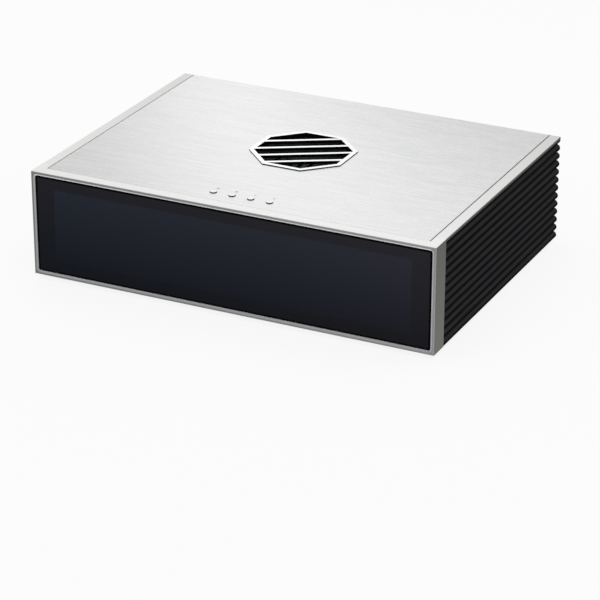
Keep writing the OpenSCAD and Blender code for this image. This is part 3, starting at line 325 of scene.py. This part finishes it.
plainFinishes = {
    # moulded ABS with a fine spark-eroded grain
    "blackAbs": {"name": "black moulded ABS", "dark": "131314", "light": "19191A", "metallic": 0.0,
                 "roughness": (0.42, 0.6), "grainMm": 0.5, "bumpMm": 0.02},
    # the vent's well: the same plastic polished, so that it picks up a little light deep inside, and
    # painted lighter grey as painted glints
    "glossAbsPaintedGlint": {"name": "polished black ABS with painted glints", "dark": "262A2B", "light": "3C4141", "metallic": 0.0,
                 "roughness": (0.16, 0.26), "grainMm": 5.0, "bumpMm": 0.02},
    # polarising film on the display: blue-black, with a faint ripple from its adhesive
    "displayFilm": {"name": "polarising film", "dark": "141A24", "light": "1A202C", "metallic": 0.0,
                    "roughness": (0.3, 0.4), "grainMm": 9.0, "bumpMm": 0.01},
    # open-cell foam tape, matt and soft
    "blackFoam": {"name": "black foam tape", "dark": "08080A", "light": "121213", "metallic": 0.0,
                  "roughness": (0.85, 0.95), "grainMm": 0.4, "bumpMm": 0.06},
    # powder coat on sheet steel: a low orange peel that breaks up the light
    "powderCoat": {"name": "black powder coat", "dark": "1B1B1C", "light": "232325", "metallic": 0.0,
                   "roughness": (0.45, 0.62), "grainMm": 0.9, "bumpMm": 0.045},
    # zinc plate: bluish spangle, bright but not polished
    "zincPlate": {"name": "zinc plated steel", "dark": "A9ACB0", "light": "C9CBCD", "metallic": 1.0,
                  "roughness": (0.28, 0.42), "grainMm": 3.0, "bumpMm": 0.01},
    # blackened steel: oiled, nearly black, with a metal glint
    "blackOxide": {"name": "black oxide steel", "dark": "262628", "light": "363638", "metallic": 1.0,
                   "roughness": (0.3, 0.45), "grainMm": 0.5, "bumpMm": 0.01},
    # milled aluminium bar: cutter lines across it
    "milledBar": {"name": "milled aluminium", "dark": "C2C2C3", "light": "D6D6D7", "metallic": 1.0,
                  "roughness": (0.3, 0.42), "grainMm": 0.8, "stretch": (20, 1, 1), "bumpMm": 0.012},
    # glass-filled nylon of the feet: matt with a slight fleck
    "footNylon": {"name": "moulded nylon", "dark": "151516", "light": "202021", "metallic": 0.0,
                  "roughness": (0.5, 0.68), "grainMm": 0.7, "bumpMm": 0.03},
    # rubber pads: dry, dark grey and rough
    "padRubber": {"name": "foot rubber", "dark": "101010", "light": "1B1B1B", "metallic": 0.0,
                  "roughness": (0.75, 0.9), "grainMm": 0.6, "bumpMm": 0.05},
    # nickel plate on stamped shells: warm grey, softly bright
    "nickelPlate": {"name": "nickel plate", "dark": "B4B2AC", "light": "CFCDC8", "metallic": 1.0,
                    "roughness": (0.2, 0.32), "grainMm": 2.0, "bumpMm": 0.008},
    # gold flash on brass: rich yellow with a satin turn
    "goldPlate": {"name": "gold plate", "dark": "D2A548", "light": "E6BF66", "metallic": 1.0,
                  "roughness": (0.2, 0.32), "grainMm": 1.2, "stretch": (1, 6, 1), "bumpMm": 0.008},
    # amber polyester film wound over copper
    "windingFilm": {"name": "amber winding film", "dark": "8A4A12", "light": "B56A1E", "metallic": 0.0,
                    "roughness": (0.2, 0.35), "grainMm": 6.0, "stretch": (1, 1, 5), "bumpMm": 0.08},
    # shrink sleeve on the capacitors: dark blue and a little shiny
    "shrinkSleeve": {"name": "shrink sleeve", "dark": "141C33", "light": "1B2644", "metallic": 0.0,
                     "roughness": (0.25, 0.38), "grainMm": 4.0, "bumpMm": 0.02},
    # flat cable: white polyester with its conductors faintly raised
    "cableFilm": {"name": "flat cable film", "dark": "D8D8D4", "light": "EDEDEA", "metallic": 0.0,
                  "roughness": (0.35, 0.5), "grainMm": 1.0, "stretch": (1, 60, 60), "bumpMm": 0.03},
    # white pad-printed ink on the switch
    "whiteInk": {"name": "white print ink", "dark": "D9D9D6", "light": "EFEFEC", "metallic": 0.0,
                 "roughness": (0.45, 0.6), "grainMm": 0.3, "bumpMm": 0.005},
    # grey laser marking on the top plate
    "greyMark": {"name": "laser marking", "dark": "58585A", "light": "68686A", "metallic": 0.0,
                 "roughness": (0.5, 0.65), "grainMm": 0.3, "bumpMm": 0.005},
}
plain = {key: grainFinish(look) for key, look in plainFinishes.items()}

finishes = {
    frameAnodisedPaintedLight: ["front_frame"],
    railAnodisedPaintedShade: ["left_rail", "right_rail"],
    brushedAnodised(brushLook): ["top_plate"],
    ventAluminiumPaintedShade: ["vent_grille"],
    turnedAluminium(buttonLook): buttonNames,
    blackAnodisedPaintedSheen: ["left_side_panel", "right_side_panel", "psu_heatsink", "processor_heatsink"],
    socketPlastic(insulatorLook): ["phono_insulators"],
    solderMask(boardLook): ["psu_board", "main_board", "dac_board", "button_board", "display_board"],
    plain["blackAbs"]: ["lcd_housing", "switch_bodies", "chips", "mains_inlet", "rocker_housing",
                        "power_rocker", "xlr_inserts", "optical_jacks", "optical_out_flap",
                        "optical_in_flap"],
    plain["glossAbsPaintedGlint"]: ["vent_well"],
    plain["displayFilm"]: ["lcd_panel"],
    plain["blackFoam"]: ["glass_gasket", "transformer_pads"],
    plain["powderCoat"]: ["base_plate", "rear_panel"],
    plain["zincPlate"]: ["display_tray", "corner_brackets", "transformer_clamp", "transformer_stud",
                         "board_screws"],
    plain["milledBar"]: ["rear_posts"],
    plain["footNylon"]: ["feet"],
    plain["padRubber"]: ["foot_pads"],
    plain["nickelPlate"]: ["xlr_shells", "lan_jack", "usb_jacks", "hdmi_jack"],
    plain["goldPlate"]: ["mains_pins", "xlr_pins", "phono_barrels", "button_board_posts", "board_pillars"],
    plain["windingFilm"]: ["transformer_winding"],
    plain["shrinkSleeve"]: ["psu_capacitors", "audio_capacitors"],
    plain["cableFilm"]: ["display_cable"],
}
for material, members in finishes.items():
    for name in members:
        setMaterial(nodes[name], material)
print("finishes on", sum(len(members) for members in finishes.values()), "CAD nodes")


def addPiece(name, mesh, material, body):
    piece = bpy.data.objects.new(name, mesh)
    bpy.context.scene.collection.objects.link(piece)
    setMaterial(piece, material)
    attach(piece, body)
    return piece


def finishMesh(name, work):
    bmesh.ops.recalc_face_normals(work, faces=work.faces)
    mesh = bpy.data.meshes.new(name)
    work.to_mesh(mesh)
    work.free()
    return mesh


# Cover glass with a polished edge, bonded to the display. Its two fields are painted lighter to the top
# right as a painted reflection
glassPiece = {
    "cornerMm": 2.0, "cornerSteps": 10, "edgeMm": 0.35, "edgeKnee": 0.3, "rearGapMm": 0.1,
    # painted reflection: the high pair sits at the top, and each pair's second tone to the right is
    # lighter
    "print": {"low": ("151920", "1D1D23"), "high": ("24242A", "2A2A30")},
    "display": {"low": ("171A23", "1D1F27"), "high": ("282D37", "30313B")},
    "rim": "020203", "rimMm": 1.6, "fieldCornerMm": 1.0, "fieldRiseMm": 1.7, "blurMm": 0.6,
    "ior": 1.5, "coating": 0.025, "roughness": (0.03, 0.05), "smearMm": 45, "smearBumpMm": 0.0002}


def outside(tree, middle, half, radius):
    # how far a point lies beyond a rounded rectangle seen from the front, and less than 0 inside it
    point = addNode(tree, "ShaderNodeTexCoord", out="Object")
    offset = addNode(tree, "ShaderNodeVectorMath", {0: point, 1: middle}, operation="SUBTRACT")
    offset = addNode(tree, "ShaderNodeVectorMath", {0: offset}, operation="ABSOLUTE")
    depth = 1.0         # more than the object's own, so that only width and height count
    core = (half.x - radius, depth, half.z - radius)
    beyond = addNode(tree, "ShaderNodeVectorMath", {0: offset, 1: core}, operation="SUBTRACT")
    beyond = addNode(tree, "ShaderNodeVectorMath", {0: beyond, 1: (0, 0, 0)}, operation="MAXIMUM")
    reach = addNode(tree, "ShaderNodeVectorMath", {0: beyond}, "Value", operation="LENGTH")
    return addNode(tree, "ShaderNodeMath", {0: reach, 1: radius}, operation="SUBTRACT")


def bondedGlass(look):
    # polished and deep black, with a print round the switched-off display's bluer field, both painted
    # lighter to the top right as painted reflection, and a painted black line of shade at the edge; the
    # coating takes away most of the mirror image
    low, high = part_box("front_glass")
    lcdLow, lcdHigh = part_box("lcd_panel")
    lcdHigh.z += look["fieldRiseMm"] * mm       # the bond line above the display shows the same blue
    material, tree, shader = newMaterial("coated black glass with painted reflection and shade", {
        "IOR": look["ior"], "Specular IOR Level": look["coating"]})
    place = axesOf(tree, "Object")
    fields = {}
    # painted reflection: each field lighter to the right and to the top
    for name in ("print", "display"):
        lower = twoTone(tree, place["X"], *look[name]["low"], low.x, high.x)
        upper = twoTone(tree, place["X"], *look[name]["high"], low.x, high.x)
        fields[name] = twoTone(tree, place["Z"], lower, upper, low.z, high.z)
    blur, rim = look["blurMm"] * mm, look["rimMm"] * mm
    field = outside(tree, (lcdLow + lcdHigh) / 2, (lcdHigh - lcdLow) / 2, look["fieldCornerMm"] * mm)
    colour = twoTone(tree, field, fields["display"], fields["print"], -blur, 0)
    # painted shade: a black line at the glass edge for the shade of the gap round it
    edge = outside(tree, (low + high) / 2, (high - low) / 2, look["cornerMm"] * mm)
    colour = twoTone(tree, edge, colour, look["rim"], -rim - blur / 2, -rim)
    surface(tree, shader, colour, grain(tree, look["smearMm"]), look["roughness"], look["smearBumpMm"])
    return material


def roundedRect(halfX, halfZ, radius, steps):
    points = []
    for quarter, (sx, sz) in enumerate([(1, 1), (-1, 1), (-1, -1), (1, -1)]):
        for i in range(steps + 1):
            angle = (quarter + i / steps) * math.pi / 2
            points.append((sx * (halfX - radius) + radius * math.cos(angle),
                           sz * (halfZ - radius) + radius * math.sin(angle)))
    return points


def bridge(work, near, far):
    for i in range(len(near)):
        j = (i + 1) % len(near)
        work.faces.new((near[i], near[j], far[j], far[i]))


def outlineLoop(work, middle, half, radius, y):
    outline = roundedRect(half.x, half.z, radius, glassPiece["cornerSteps"])
    return [work.verts.new((middle.x + x, y, middle.z + z)) for x, z in outline]


def buildGlass(look):
    low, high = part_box("front_glass")
    middle, half = (low + high) / 2, (high - low) / 2
    edge, corner = look["edgeMm"] * mm, look["cornerMm"] * mm
    knee = edge * look["edgeKnee"]      # one step on the way rounds the polished edge
    rear = high.y - look["rearGapMm"] * mm
    work = bmesh.new()
    loops = []
    for inset, y in [(edge, low.y), (knee, low.y + knee), (0, low.y + edge), (0, rear)]:
        loops.append(outlineLoop(work, middle, half - Vector((inset, 0, inset)), corner - inset, y))
    for near, far in zip(loops, loops[1:]):
        bridge(work, near, far)
    work.faces.new(loops[0])
    work.faces.new(loops[-1])
    mesh = finishMesh("cover_glass", work)
    glass = addPiece("cover_glass", mesh, bondedGlass(look), "case")
    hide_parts("front_glass")


buildGlass(glassPiece)
print("cover glass built")


def treeWithInputs(name, inputs):
    # a Geometry Nodes tree with named inputs, and the identifiers that set them
    tree = bpy.data.node_groups.new(name, "GeometryNodeTree")
    tree.interface.new_socket("Geometry", in_out="INPUT", socket_type="NodeSocketGeometry")
    tree.interface.new_socket("Geometry", in_out="OUTPUT", socket_type="NodeSocketGeometry")
    for label, kind in inputs.items():
        tree.interface.new_socket(label, in_out="INPUT", socket_type="NodeSocket" + kind)
    known = {item.name: item.identifier for item in tree.interface.items_tree if item.in_out == "INPUT"}
    return tree, tree.nodes.new("NodeGroupInput").outputs, known


def endTree(tree, geometry, material):
    solid = addNode(tree, "GeometryNodeRealizeInstances", {"Geometry": geometry})
    solid = addNode(tree, "GeometryNodeSetMaterial", {"Geometry": solid, "Material": material})
    tree.links.new(solid, tree.nodes.new("NodeGroupOutput").inputs[0])


def runTree(name, startMesh, tree, known, values):
    # evaluates the tree once and keeps the plain mesh
    holder = bpy.data.objects.new(name + "_start", startMesh)
    bpy.context.scene.collection.objects.link(holder)
    modifier = holder.modifiers.new("build", "NODES")
    modifier.node_group = tree
    for label, value in values.items():
        modifier[known[label]] = value
    graph = bpy.context.evaluated_depsgraph_get()
    mesh = bpy.data.meshes.new_from_object(holder.evaluated_get(graph), depsgraph=graph)
    mesh.name = name
    holder.modifiers.remove(modifier)
    bpy.data.objects.remove(holder)
    return mesh


# Pan-head screws with a hex recess; each point carries the head's facing and the shank's length
screwPiece = {
    "headRadiusMm": 2.8, "headHeightMm": 1.8, "headSides": 32, "headSteps": 6,
    "dome": 0.16, "domePower": 3.0, "recessRadiusMm": 1.25, "recessDepthMm": 1.1, "recessSides": 6,
    "shankRadiusMm": 1.4, "shankSides": 16,
    "sideXMm": 203, "sideCount": 4, "sideInMm": 17.5,
    "frontXMm": 145, "frontBackMm": 4.2, "underGripMm": 4.6,
    "rearZMm": (25, 92), "rearGripMm": 6.6,
    "bracketXMm": 204, "bracketYMm": (-143, -123), "bracketZMm": (43.5, 75.5), "bracketGripMm": 6.4,
    "footSeatMm": 2.2, "footXMm": 165, "footYMm": 115, "footGripMm": 5.3}


def screwTree(look):
    tree, given, known = treeWithInputs("panScrews", {
        "Head Radius": "Float", "Head Height": "Float", "Dome": "Float", "Recess Radius": "Float",
        "Recess Depth": "Float", "Shank Radius": "Float", "Finish": "Material"})
    head = addNode(tree, "GeometryNodeMeshCylinder", {
        "Vertices": look["headSides"], "Side Segments": look["headSteps"],
        "Radius": given["Head Radius"], "Depth": given["Head Height"]})
    lift = addNode(tree, "ShaderNodeMath", {0: given["Head Height"], 1: 0.5}, operation="MULTIPLY")
    lift = addNode(tree, "ShaderNodeCombineXYZ", {"Z": lift})
    head = addNode(tree, "GeometryNodeTransform", {"Geometry": head, "Translation": lift})
    place = addNode(tree, "GeometryNodeInputPosition")
    height = addNode(tree, "ShaderNodeSeparateXYZ", {"Vector": place}, "Z")
    share = addNode(tree, "ShaderNodeMath", {0: height, 1: given["Head Height"]}, operation="DIVIDE")
    share = addNode(tree, "ShaderNodeMath", {0: share, 1: look["domePower"]}, operation="POWER")
    pull = addNode(tree, "ShaderNodeMath", {0: share, 1: given["Dome"]}, operation="MULTIPLY")
    keep = addNode(tree, "ShaderNodeMath", {0: 1.0, 1: pull}, operation="SUBTRACT")
    keep = addNode(tree, "ShaderNodeCombineXYZ", {"X": keep, "Y": keep, "Z": 1.0})
    domed = addNode(tree, "ShaderNodeVectorMath", {0: place, 1: keep}, operation="MULTIPLY")
    head = addNode(tree, "GeometryNodeSetPosition", {"Geometry": head, "Position": domed})
    # the cutter is centred on the head's top, so half of it stands above
    deep = addNode(tree, "ShaderNodeMath", {0: given["Recess Depth"], 1: 2.0}, operation="MULTIPLY")
    key = addNode(tree, "GeometryNodeMeshCylinder", {
        "Vertices": look["recessSides"], "Radius": given["Recess Radius"], "Depth": deep})
    top = addNode(tree, "ShaderNodeCombineXYZ", {"Z": given["Head Height"]})
    key = addNode(tree, "GeometryNodeTransform", {"Geometry": key, "Translation": top})
    head = addNode(tree, "GeometryNodeMeshBoolean", {0: head, 1: key}, operation="DIFFERENCE")
    # a shank of unit length below its point, which the grip stretches to size
    shank = addNode(tree, "GeometryNodeMeshCylinder", {
        "Vertices": look["shankSides"], "Radius": given["Shank Radius"], "Depth": 1.0})
    shank = addNode(tree, "GeometryNodeTransform", {"Geometry": shank, "Translation": (0, 0, -0.5)})
    facing = addNode(tree, "GeometryNodeInputNamedAttribute", {"Name": "facing"}, data_type="FLOAT_VECTOR")
    turn = addNode(tree, "FunctionNodeAlignRotationToVector", {"Vector": facing}, axis="Z")
    grip = addNode(tree, "GeometryNodeInputNamedAttribute", {"Name": "grip"}, data_type="FLOAT")
    stretch = addNode(tree, "ShaderNodeCombineXYZ", {"X": 1.0, "Y": 1.0, "Z": grip})
    heads = addNode(tree, "GeometryNodeInstanceOnPoints", {
        "Points": given["Geometry"], "Instance": head, "Rotation": turn})
    shanks = addNode(tree, "GeometryNodeInstanceOnPoints", {
        "Points": given["Geometry"], "Instance": shank, "Rotation": turn, "Scale": stretch})
    both = addNode(tree, "GeometryNodeJoinGeometry", {"Geometry": heads})
    tree.links.new(shanks, both.node.inputs["Geometry"])
    endTree(tree, both, given["Finish"])
    return tree, known


def pointMesh(name, places):
    # one vertex for each (place, facing, grip), in mm
    mesh = bpy.data.meshes.new(name)
    mesh.from_pydata([[c * mm for c in place] for place, facing, grip in places], [], [])
    mesh.attributes.new("facing", "FLOAT_VECTOR", "POINT")
    mesh.attributes.new("grip", "FLOAT", "POINT")
    for i, (place, facing, grip) in enumerate(places):
        mesh.attributes["facing"].data[i].vector = facing
        mesh.attributes["grip"].data[i].value = grip * mm
    return mesh


def buildScrews(look):
    down, back = (0, 0, -1), (0, 1, 0)
    sideLow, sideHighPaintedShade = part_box("right_side_panel")
    first, last = sideLow.y / mm + look["sideInMm"], sideHighPaintedShade.y / mm - look["sideInMm"]
    step = (last - first) / (look["sideCount"] - 1)
    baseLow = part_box("base_plate")[0]
    seat, frontY = baseLow.z / mm, baseLow.y / mm + look["frontBackMm"]
    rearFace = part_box("rear_panel")[1].y / mm
    casePlaces = [((i * look["frontXMm"], frontY, seat), down, look["underGripMm"]) for i in (-1, 0, 1)]
    for side in (-1, 1):
        x = side * look["sideXMm"]
        under = [(x, first + i * step, seat) for i in range(look["sideCount"])]
        casePlaces += [(place, down, look["underGripMm"]) for place in under]
        casePlaces += [((x, rearFace, z), back, look["rearGripMm"]) for z in look["rearZMm"]]
        casePlaces += [((side * look["bracketXMm"], y, z), (-side, 0, 0), look["bracketGripMm"])
                       for y in look["bracketYMm"] for z in look["bracketZMm"]]
    feet = [(sx * look["footXMm"], sy * look["footYMm"], look["footSeatMm"])
            for sx in (-1, 1) for sy in (-1, 1)]
    footPlaces = [(place, down, look["footGripMm"]) for place in feet]
    tree, known = screwTree(look)
    values = {
        "Head Radius": look["headRadiusMm"] * mm, "Head Height": look["headHeightMm"] * mm,
        "Dome": look["dome"],
        "Recess Radius": look["recessRadiusMm"] * mm, "Recess Depth": look["recessDepthMm"] * mm,
        "Shank Radius": look["shankRadiusMm"] * mm, "Finish": plain["blackOxide"]}
    for name, places, node in (("case_screw_set", casePlaces, "case_screws"),
                               ("foot_screw_set", footPlaces, "foot_screws")):
        mesh = runTree(name, pointMesh(name, places), tree, known, values)
        screws = addPiece(name, mesh, plain["blackOxide"], "case")
        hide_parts(node)


buildScrews(screwPiece)
print("screws built")

# Contacts in the network and data sockets: rows of sprung wires and flat strips
contactPiece = {
    "network": {"count": 8, "pitchMm": 1.02, "sizeMm": (0.45, 11.0, 0.4),
                "middleMm": (42, 140.6, 25.3), "tilt": 9},
    "dataLower": {"count": 4, "pitchMm": 2.2, "sizeMm": (1.1, 8.5, 0.1),
                  "middleMm": (10, 139.4, 20.46), "tilt": 0},
    "dataUpper": {"count": 4, "pitchMm": 2.2, "sizeMm": (1.1, 8.5, 0.1),
                  "middleMm": (10, 139.4, 28.36), "tilt": 0}}


def contactTree():
    tree, given, known = treeWithInputs("contactRow", {
        "Count": "Int", "Pitch": "Float", "Size": "Vector", "Tilt": "Float", "Finish": "Material"})
    step = addNode(tree, "ShaderNodeCombineXYZ", {"X": given["Pitch"]})
    gaps = addNode(tree, "ShaderNodeMath", {0: given["Count"], 1: 1.0}, operation="SUBTRACT")
    back = addNode(tree, "ShaderNodeMath", {0: gaps, 1: given["Pitch"]}, operation="MULTIPLY")
    back = addNode(tree, "ShaderNodeMath", {0: back, 1: -0.5}, operation="MULTIPLY")
    start = addNode(tree, "ShaderNodeCombineXYZ", {"X": back})
    row = addNode(tree, "GeometryNodeMeshLine", {
        "Count": given["Count"], "Start Location": start, "Offset": step})
    strip = addNode(tree, "GeometryNodeMeshCube", {"Size": given["Size"]})
    turn = addNode(tree, "ShaderNodeCombineXYZ", {"X": given["Tilt"]})
    strips = addNode(tree, "GeometryNodeInstanceOnPoints", {
        "Points": row, "Instance": strip, "Rotation": turn})
    rows = addNode(tree, "GeometryNodeInstanceOnPoints", {"Points": given["Geometry"], "Instance": strips})
    endTree(tree, rows, given["Finish"])
    return tree, known


def buildContacts(rows):
    tree, known = contactTree()
    for key, row in rows.items():
        start = bpy.data.meshes.new(key)
        start.from_pydata([[c * mm for c in row["middleMm"]]], [], [])
        mesh = runTree("contacts_" + key, start, tree, known, {
            "Count": row["count"], "Pitch": row["pitchMm"] * mm, "Size": [c * mm for c in row["sizeMm"]],
            "Tilt": math.radians(row["tilt"]), "Finish": plain["goldPlate"]})
        addPiece("contacts_" + key, mesh, plain["goldPlate"], "case")


buildContacts(contactPiece)
print("socket contacts built")

# Small generic marks: on and off on the mains switch, and each button's job behind it
markPiece = {"lineMm": 0.45, "thickMm": 0.04, "sinkMm": 0.02, "ringSteps": 24,
             "switchMm": 2.6, "switchRiseMm": 4.2, "castMm": 10, "buttonMm": 1.3, "behindMm": 10.0,
             "ringGap": 60, "barTop": 1.2, "barFoot": 0.3, "triangleBack": 0.7}


def arc(radius, first, last):
    steps = markPiece["ringSteps"]
    angles = [math.radians(first + (last - first) * i / steps) for i in range(steps + 1)]
    return [(radius * math.cos(a), radius * math.sin(a)) for a in angles]


def stroke(work, line, width, toWorld):
    # a thin raised line of print along a 2-D path
    rows = []
    for i, (u, v) in enumerate(line):
        before, after = line[max(i - 1, 0)], line[min(i + 1, len(line) - 1)]
        run = Vector((after[0] - before[0], after[1] - before[1])).normalized() * width / 2
        edges = [(u - run.y, v + run.x), (u + run.y, v - run.x)]
        high = [work.verts.new(toWorld(a, b, markPiece["thickMm"])) for a, b in edges]
        low = [work.verts.new(toWorld(a, b, -markPiece["sinkMm"])) for a, b in edges]
        rows.append((high[0], high[1], low[1], low[0]))
    for near, far in zip(rows, rows[1:]):
        bridge(work, near, far)
    work.faces.new(rows[0])
    work.faces.new(rows[-1])


def buildSwitchMarks(look):
    low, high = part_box("power_rocker")
    middle = (low + high) / 2
    rocker = nodes["power_rocker"].data
    tree = BVHTree.FromPolygons([v.co for v in rocker.vertices], [p.vertices for p in rocker.polygons])

    def onRocker(rise):
        # straight onto the rocker's tilted face from behind
        def place(u, v, lift):
            start = Vector((middle.x + u * mm, high.y + look["castMm"] * mm, middle.z + (rise + v) * mm))
            hit = tree.ray_cast(start, Vector((0, -1, 0)))[0]
            return hit + Vector((0, lift * mm, 0))
        return place

    size, width = look["switchMm"], look["lineMm"]
    work = bmesh.new()
    stroke(work, [(-size / 2, 0), (0, 0), (size / 2, 0)], width, onRocker(look["switchRiseMm"]))
    stroke(work, arc(size / 2, 0, 360), width, onRocker(-look["switchRiseMm"]))
    mesh = finishMesh("switch_marks", work)
    addPiece("switch_marks", mesh, plain["whiteInk"], "power_rocker")


def buildButtonMarks(look):
    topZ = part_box("top_plate")[1].z
    size, width = look["buttonMm"], look["lineMm"]
    ring = arc(size, 90 + look["ringGap"] / 2, 450 - look["ringGap"] / 2)
    bar = [(0, size * look["barTop"]), (0, size * look["barFoot"])]
    back = -size * look["triangleBack"]
    tip, upper, lower = (size, 0), (back, size), (back, -size)
    level, upright = [(-size, 0), (size, 0)], [(0, -size), (0, size)]
    symbols = {
        "power_button": [ring, bar],
        "play_button": [[lower, tip], [tip, upper], [upper, lower]],
        "volume_down_button": [level],
        "volume_up_button": [level, upright]}
    work = bmesh.new()
    for name, lines in symbols.items():
        centre = sum(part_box(name), Vector()) / 2

        def onTop(u, v, lift):
            return Vector((centre.x + u * mm, centre.y + (look["behindMm"] + v) * mm, topZ + lift * mm))
        for line in lines:
            stroke(work, line, width, onTop)
    mesh = finishMesh("button_marks", work)
    addPiece("button_marks", mesh, plain["greyMark"], "case")


buildSwitchMarks(markPiece)
buildButtonMarks(markPiece)
print("marks built")

# Plain studio: pale floor, an even tent, a turned strip of light behind and a wide weak one overhead
studio = {
    "floorTint": "F4F4F3", "floorSizeM": 40, "floorDropMm": 0.05, "floorLift": 0.87,
    "skyLow": 0.5, "skyHigh": 1.0,
    "lamps": {
        "strip softbox": {"place": (-0.28, 0.82, 0.73), "aim": (-0.28, 0, 0.73), "turn": -38,
                          "size": (0.9, 0.38), "radiance": 0.73},
        "overhead softbox": {"place": (0.2, -0.1, 1.7), "aim": (0, 0, 0), "turn": 0,
                             "size": (1.6, 1.4), "radiance": 0.2}}}


def buildFloor(look):
    half = look["floorSizeM"] / 2
    mesh = bpy.data.meshes.new("floor")
    corners = [(-half, -half), (half, -half), (half, half), (-half, half)]
    mesh.from_pydata([(x, y, -look["floorDropMm"] * mm) for x, y in corners], [], [(0, 1, 2, 3)])
    floor = bpy.data.objects.new("floor", mesh)
    bpy.context.scene.collection.objects.link(floor)
    # matt white paper, lifted towards white for the rays that show it; the rest keeps the shadow
    material, tree, shader = newMaterial("matt white paper", {
        "Base Color": look["floorTint"], "Roughness": 1.0, "Specular IOR Level": 0.0})
    path = addNode(tree, "ShaderNodeLightPath").node.outputs
    seen = path["Is Camera Ray"]
    for ray in ("Is Glossy Ray", "Is Transmission Ray"):
        seen = addNode(tree, "ShaderNodeMath", {0: seen, 1: path[ray]}, operation="MAXIMUM")
    lift = addNode(tree, "ShaderNodeMath", {0: seen, 1: look["floorLift"]}, operation="MULTIPLY")
    glow = addNode(tree, "ShaderNodeEmission", {"Color": "FFFFFF"})
    mix = addNode(tree, "ShaderNodeMixShader", {0: lift, 1: shader.outputs[0], 2: glow})
    fill(tree, tree.nodes["Material Output"], {"Surface": mix})
    setMaterial(floor, material)


def buildLamps(look):
    for name, lamp in look["lamps"].items():
        light = bpy.data.lights.new(name, "AREA")
        light.shape = "RECTANGLE"
        light.size, light.size_y = lamp["size"]
        light.energy = lamp["radiance"] * math.pi * light.size * light.size_y      # in watts
        holder = bpy.data.objects.new(name, light)
        holder.location = lamp["place"]
        aim = Vector(lamp["aim"]) - Vector(lamp["place"])
        turn = Quaternion((0, 0, 1), math.radians(lamp["turn"]))
        holder.rotation_euler = (aim.to_track_quat("-Z", "Y") @ turn).to_euler()
        holder.visible_camera = False
        bpy.context.scene.collection.objects.link(holder)


def buildSky(look):
    # an even studio tent, brighter overhead
    world = bpy.data.worlds.new("studio")
    bpy.context.scene.world = world
    world.use_nodes = True
    tree = world.node_tree
    height = axesOf(tree, "Generated")["Z"]
    strength = addNode(tree, "ShaderNodeMapRange", {
        "Value": height, "To Min": look["skyLow"], "To Max": look["skyHigh"]})
    fill(tree, tree.nodes["Background"], {"Color": "FFFFFF", "Strength": strength})


# Camera: a long lens from the front right, aimed low, so that the object stands in the upper half
view = {"place": (1.0693, -2.1958, 1.0652), "azimuth": 25.96, "elevation": 24.454, "roll": 0.126,
        "lensMm": 158.45, "sensorMm": 36}


def buildCamera(look):
    data = bpy.data.cameras.new("camera")
    data.lens = look["lensMm"]
    data.sensor_width = look["sensorMm"]
    camera = bpy.data.objects.new("camera", data)
    camera.location = look["place"]
    turns = [(look["azimuth"], "Z"), (90 - look["elevation"], "X"), (look["roll"], "Z")]
    aim = Matrix.Identity(3)
    for angle, axis in turns:
        aim = aim @ Matrix.Rotation(math.radians(angle), 3, axis)
    camera.rotation_euler = aim.to_euler()
    bpy.context.scene.collection.objects.link(camera)
    bpy.context.scene.camera = camera


buildFloor(studio)
buildLamps(studio)
buildSky(studio)
buildCamera(view)
bpy.context.scene.view_settings.view_transform = "Standard"
print("studio ready")
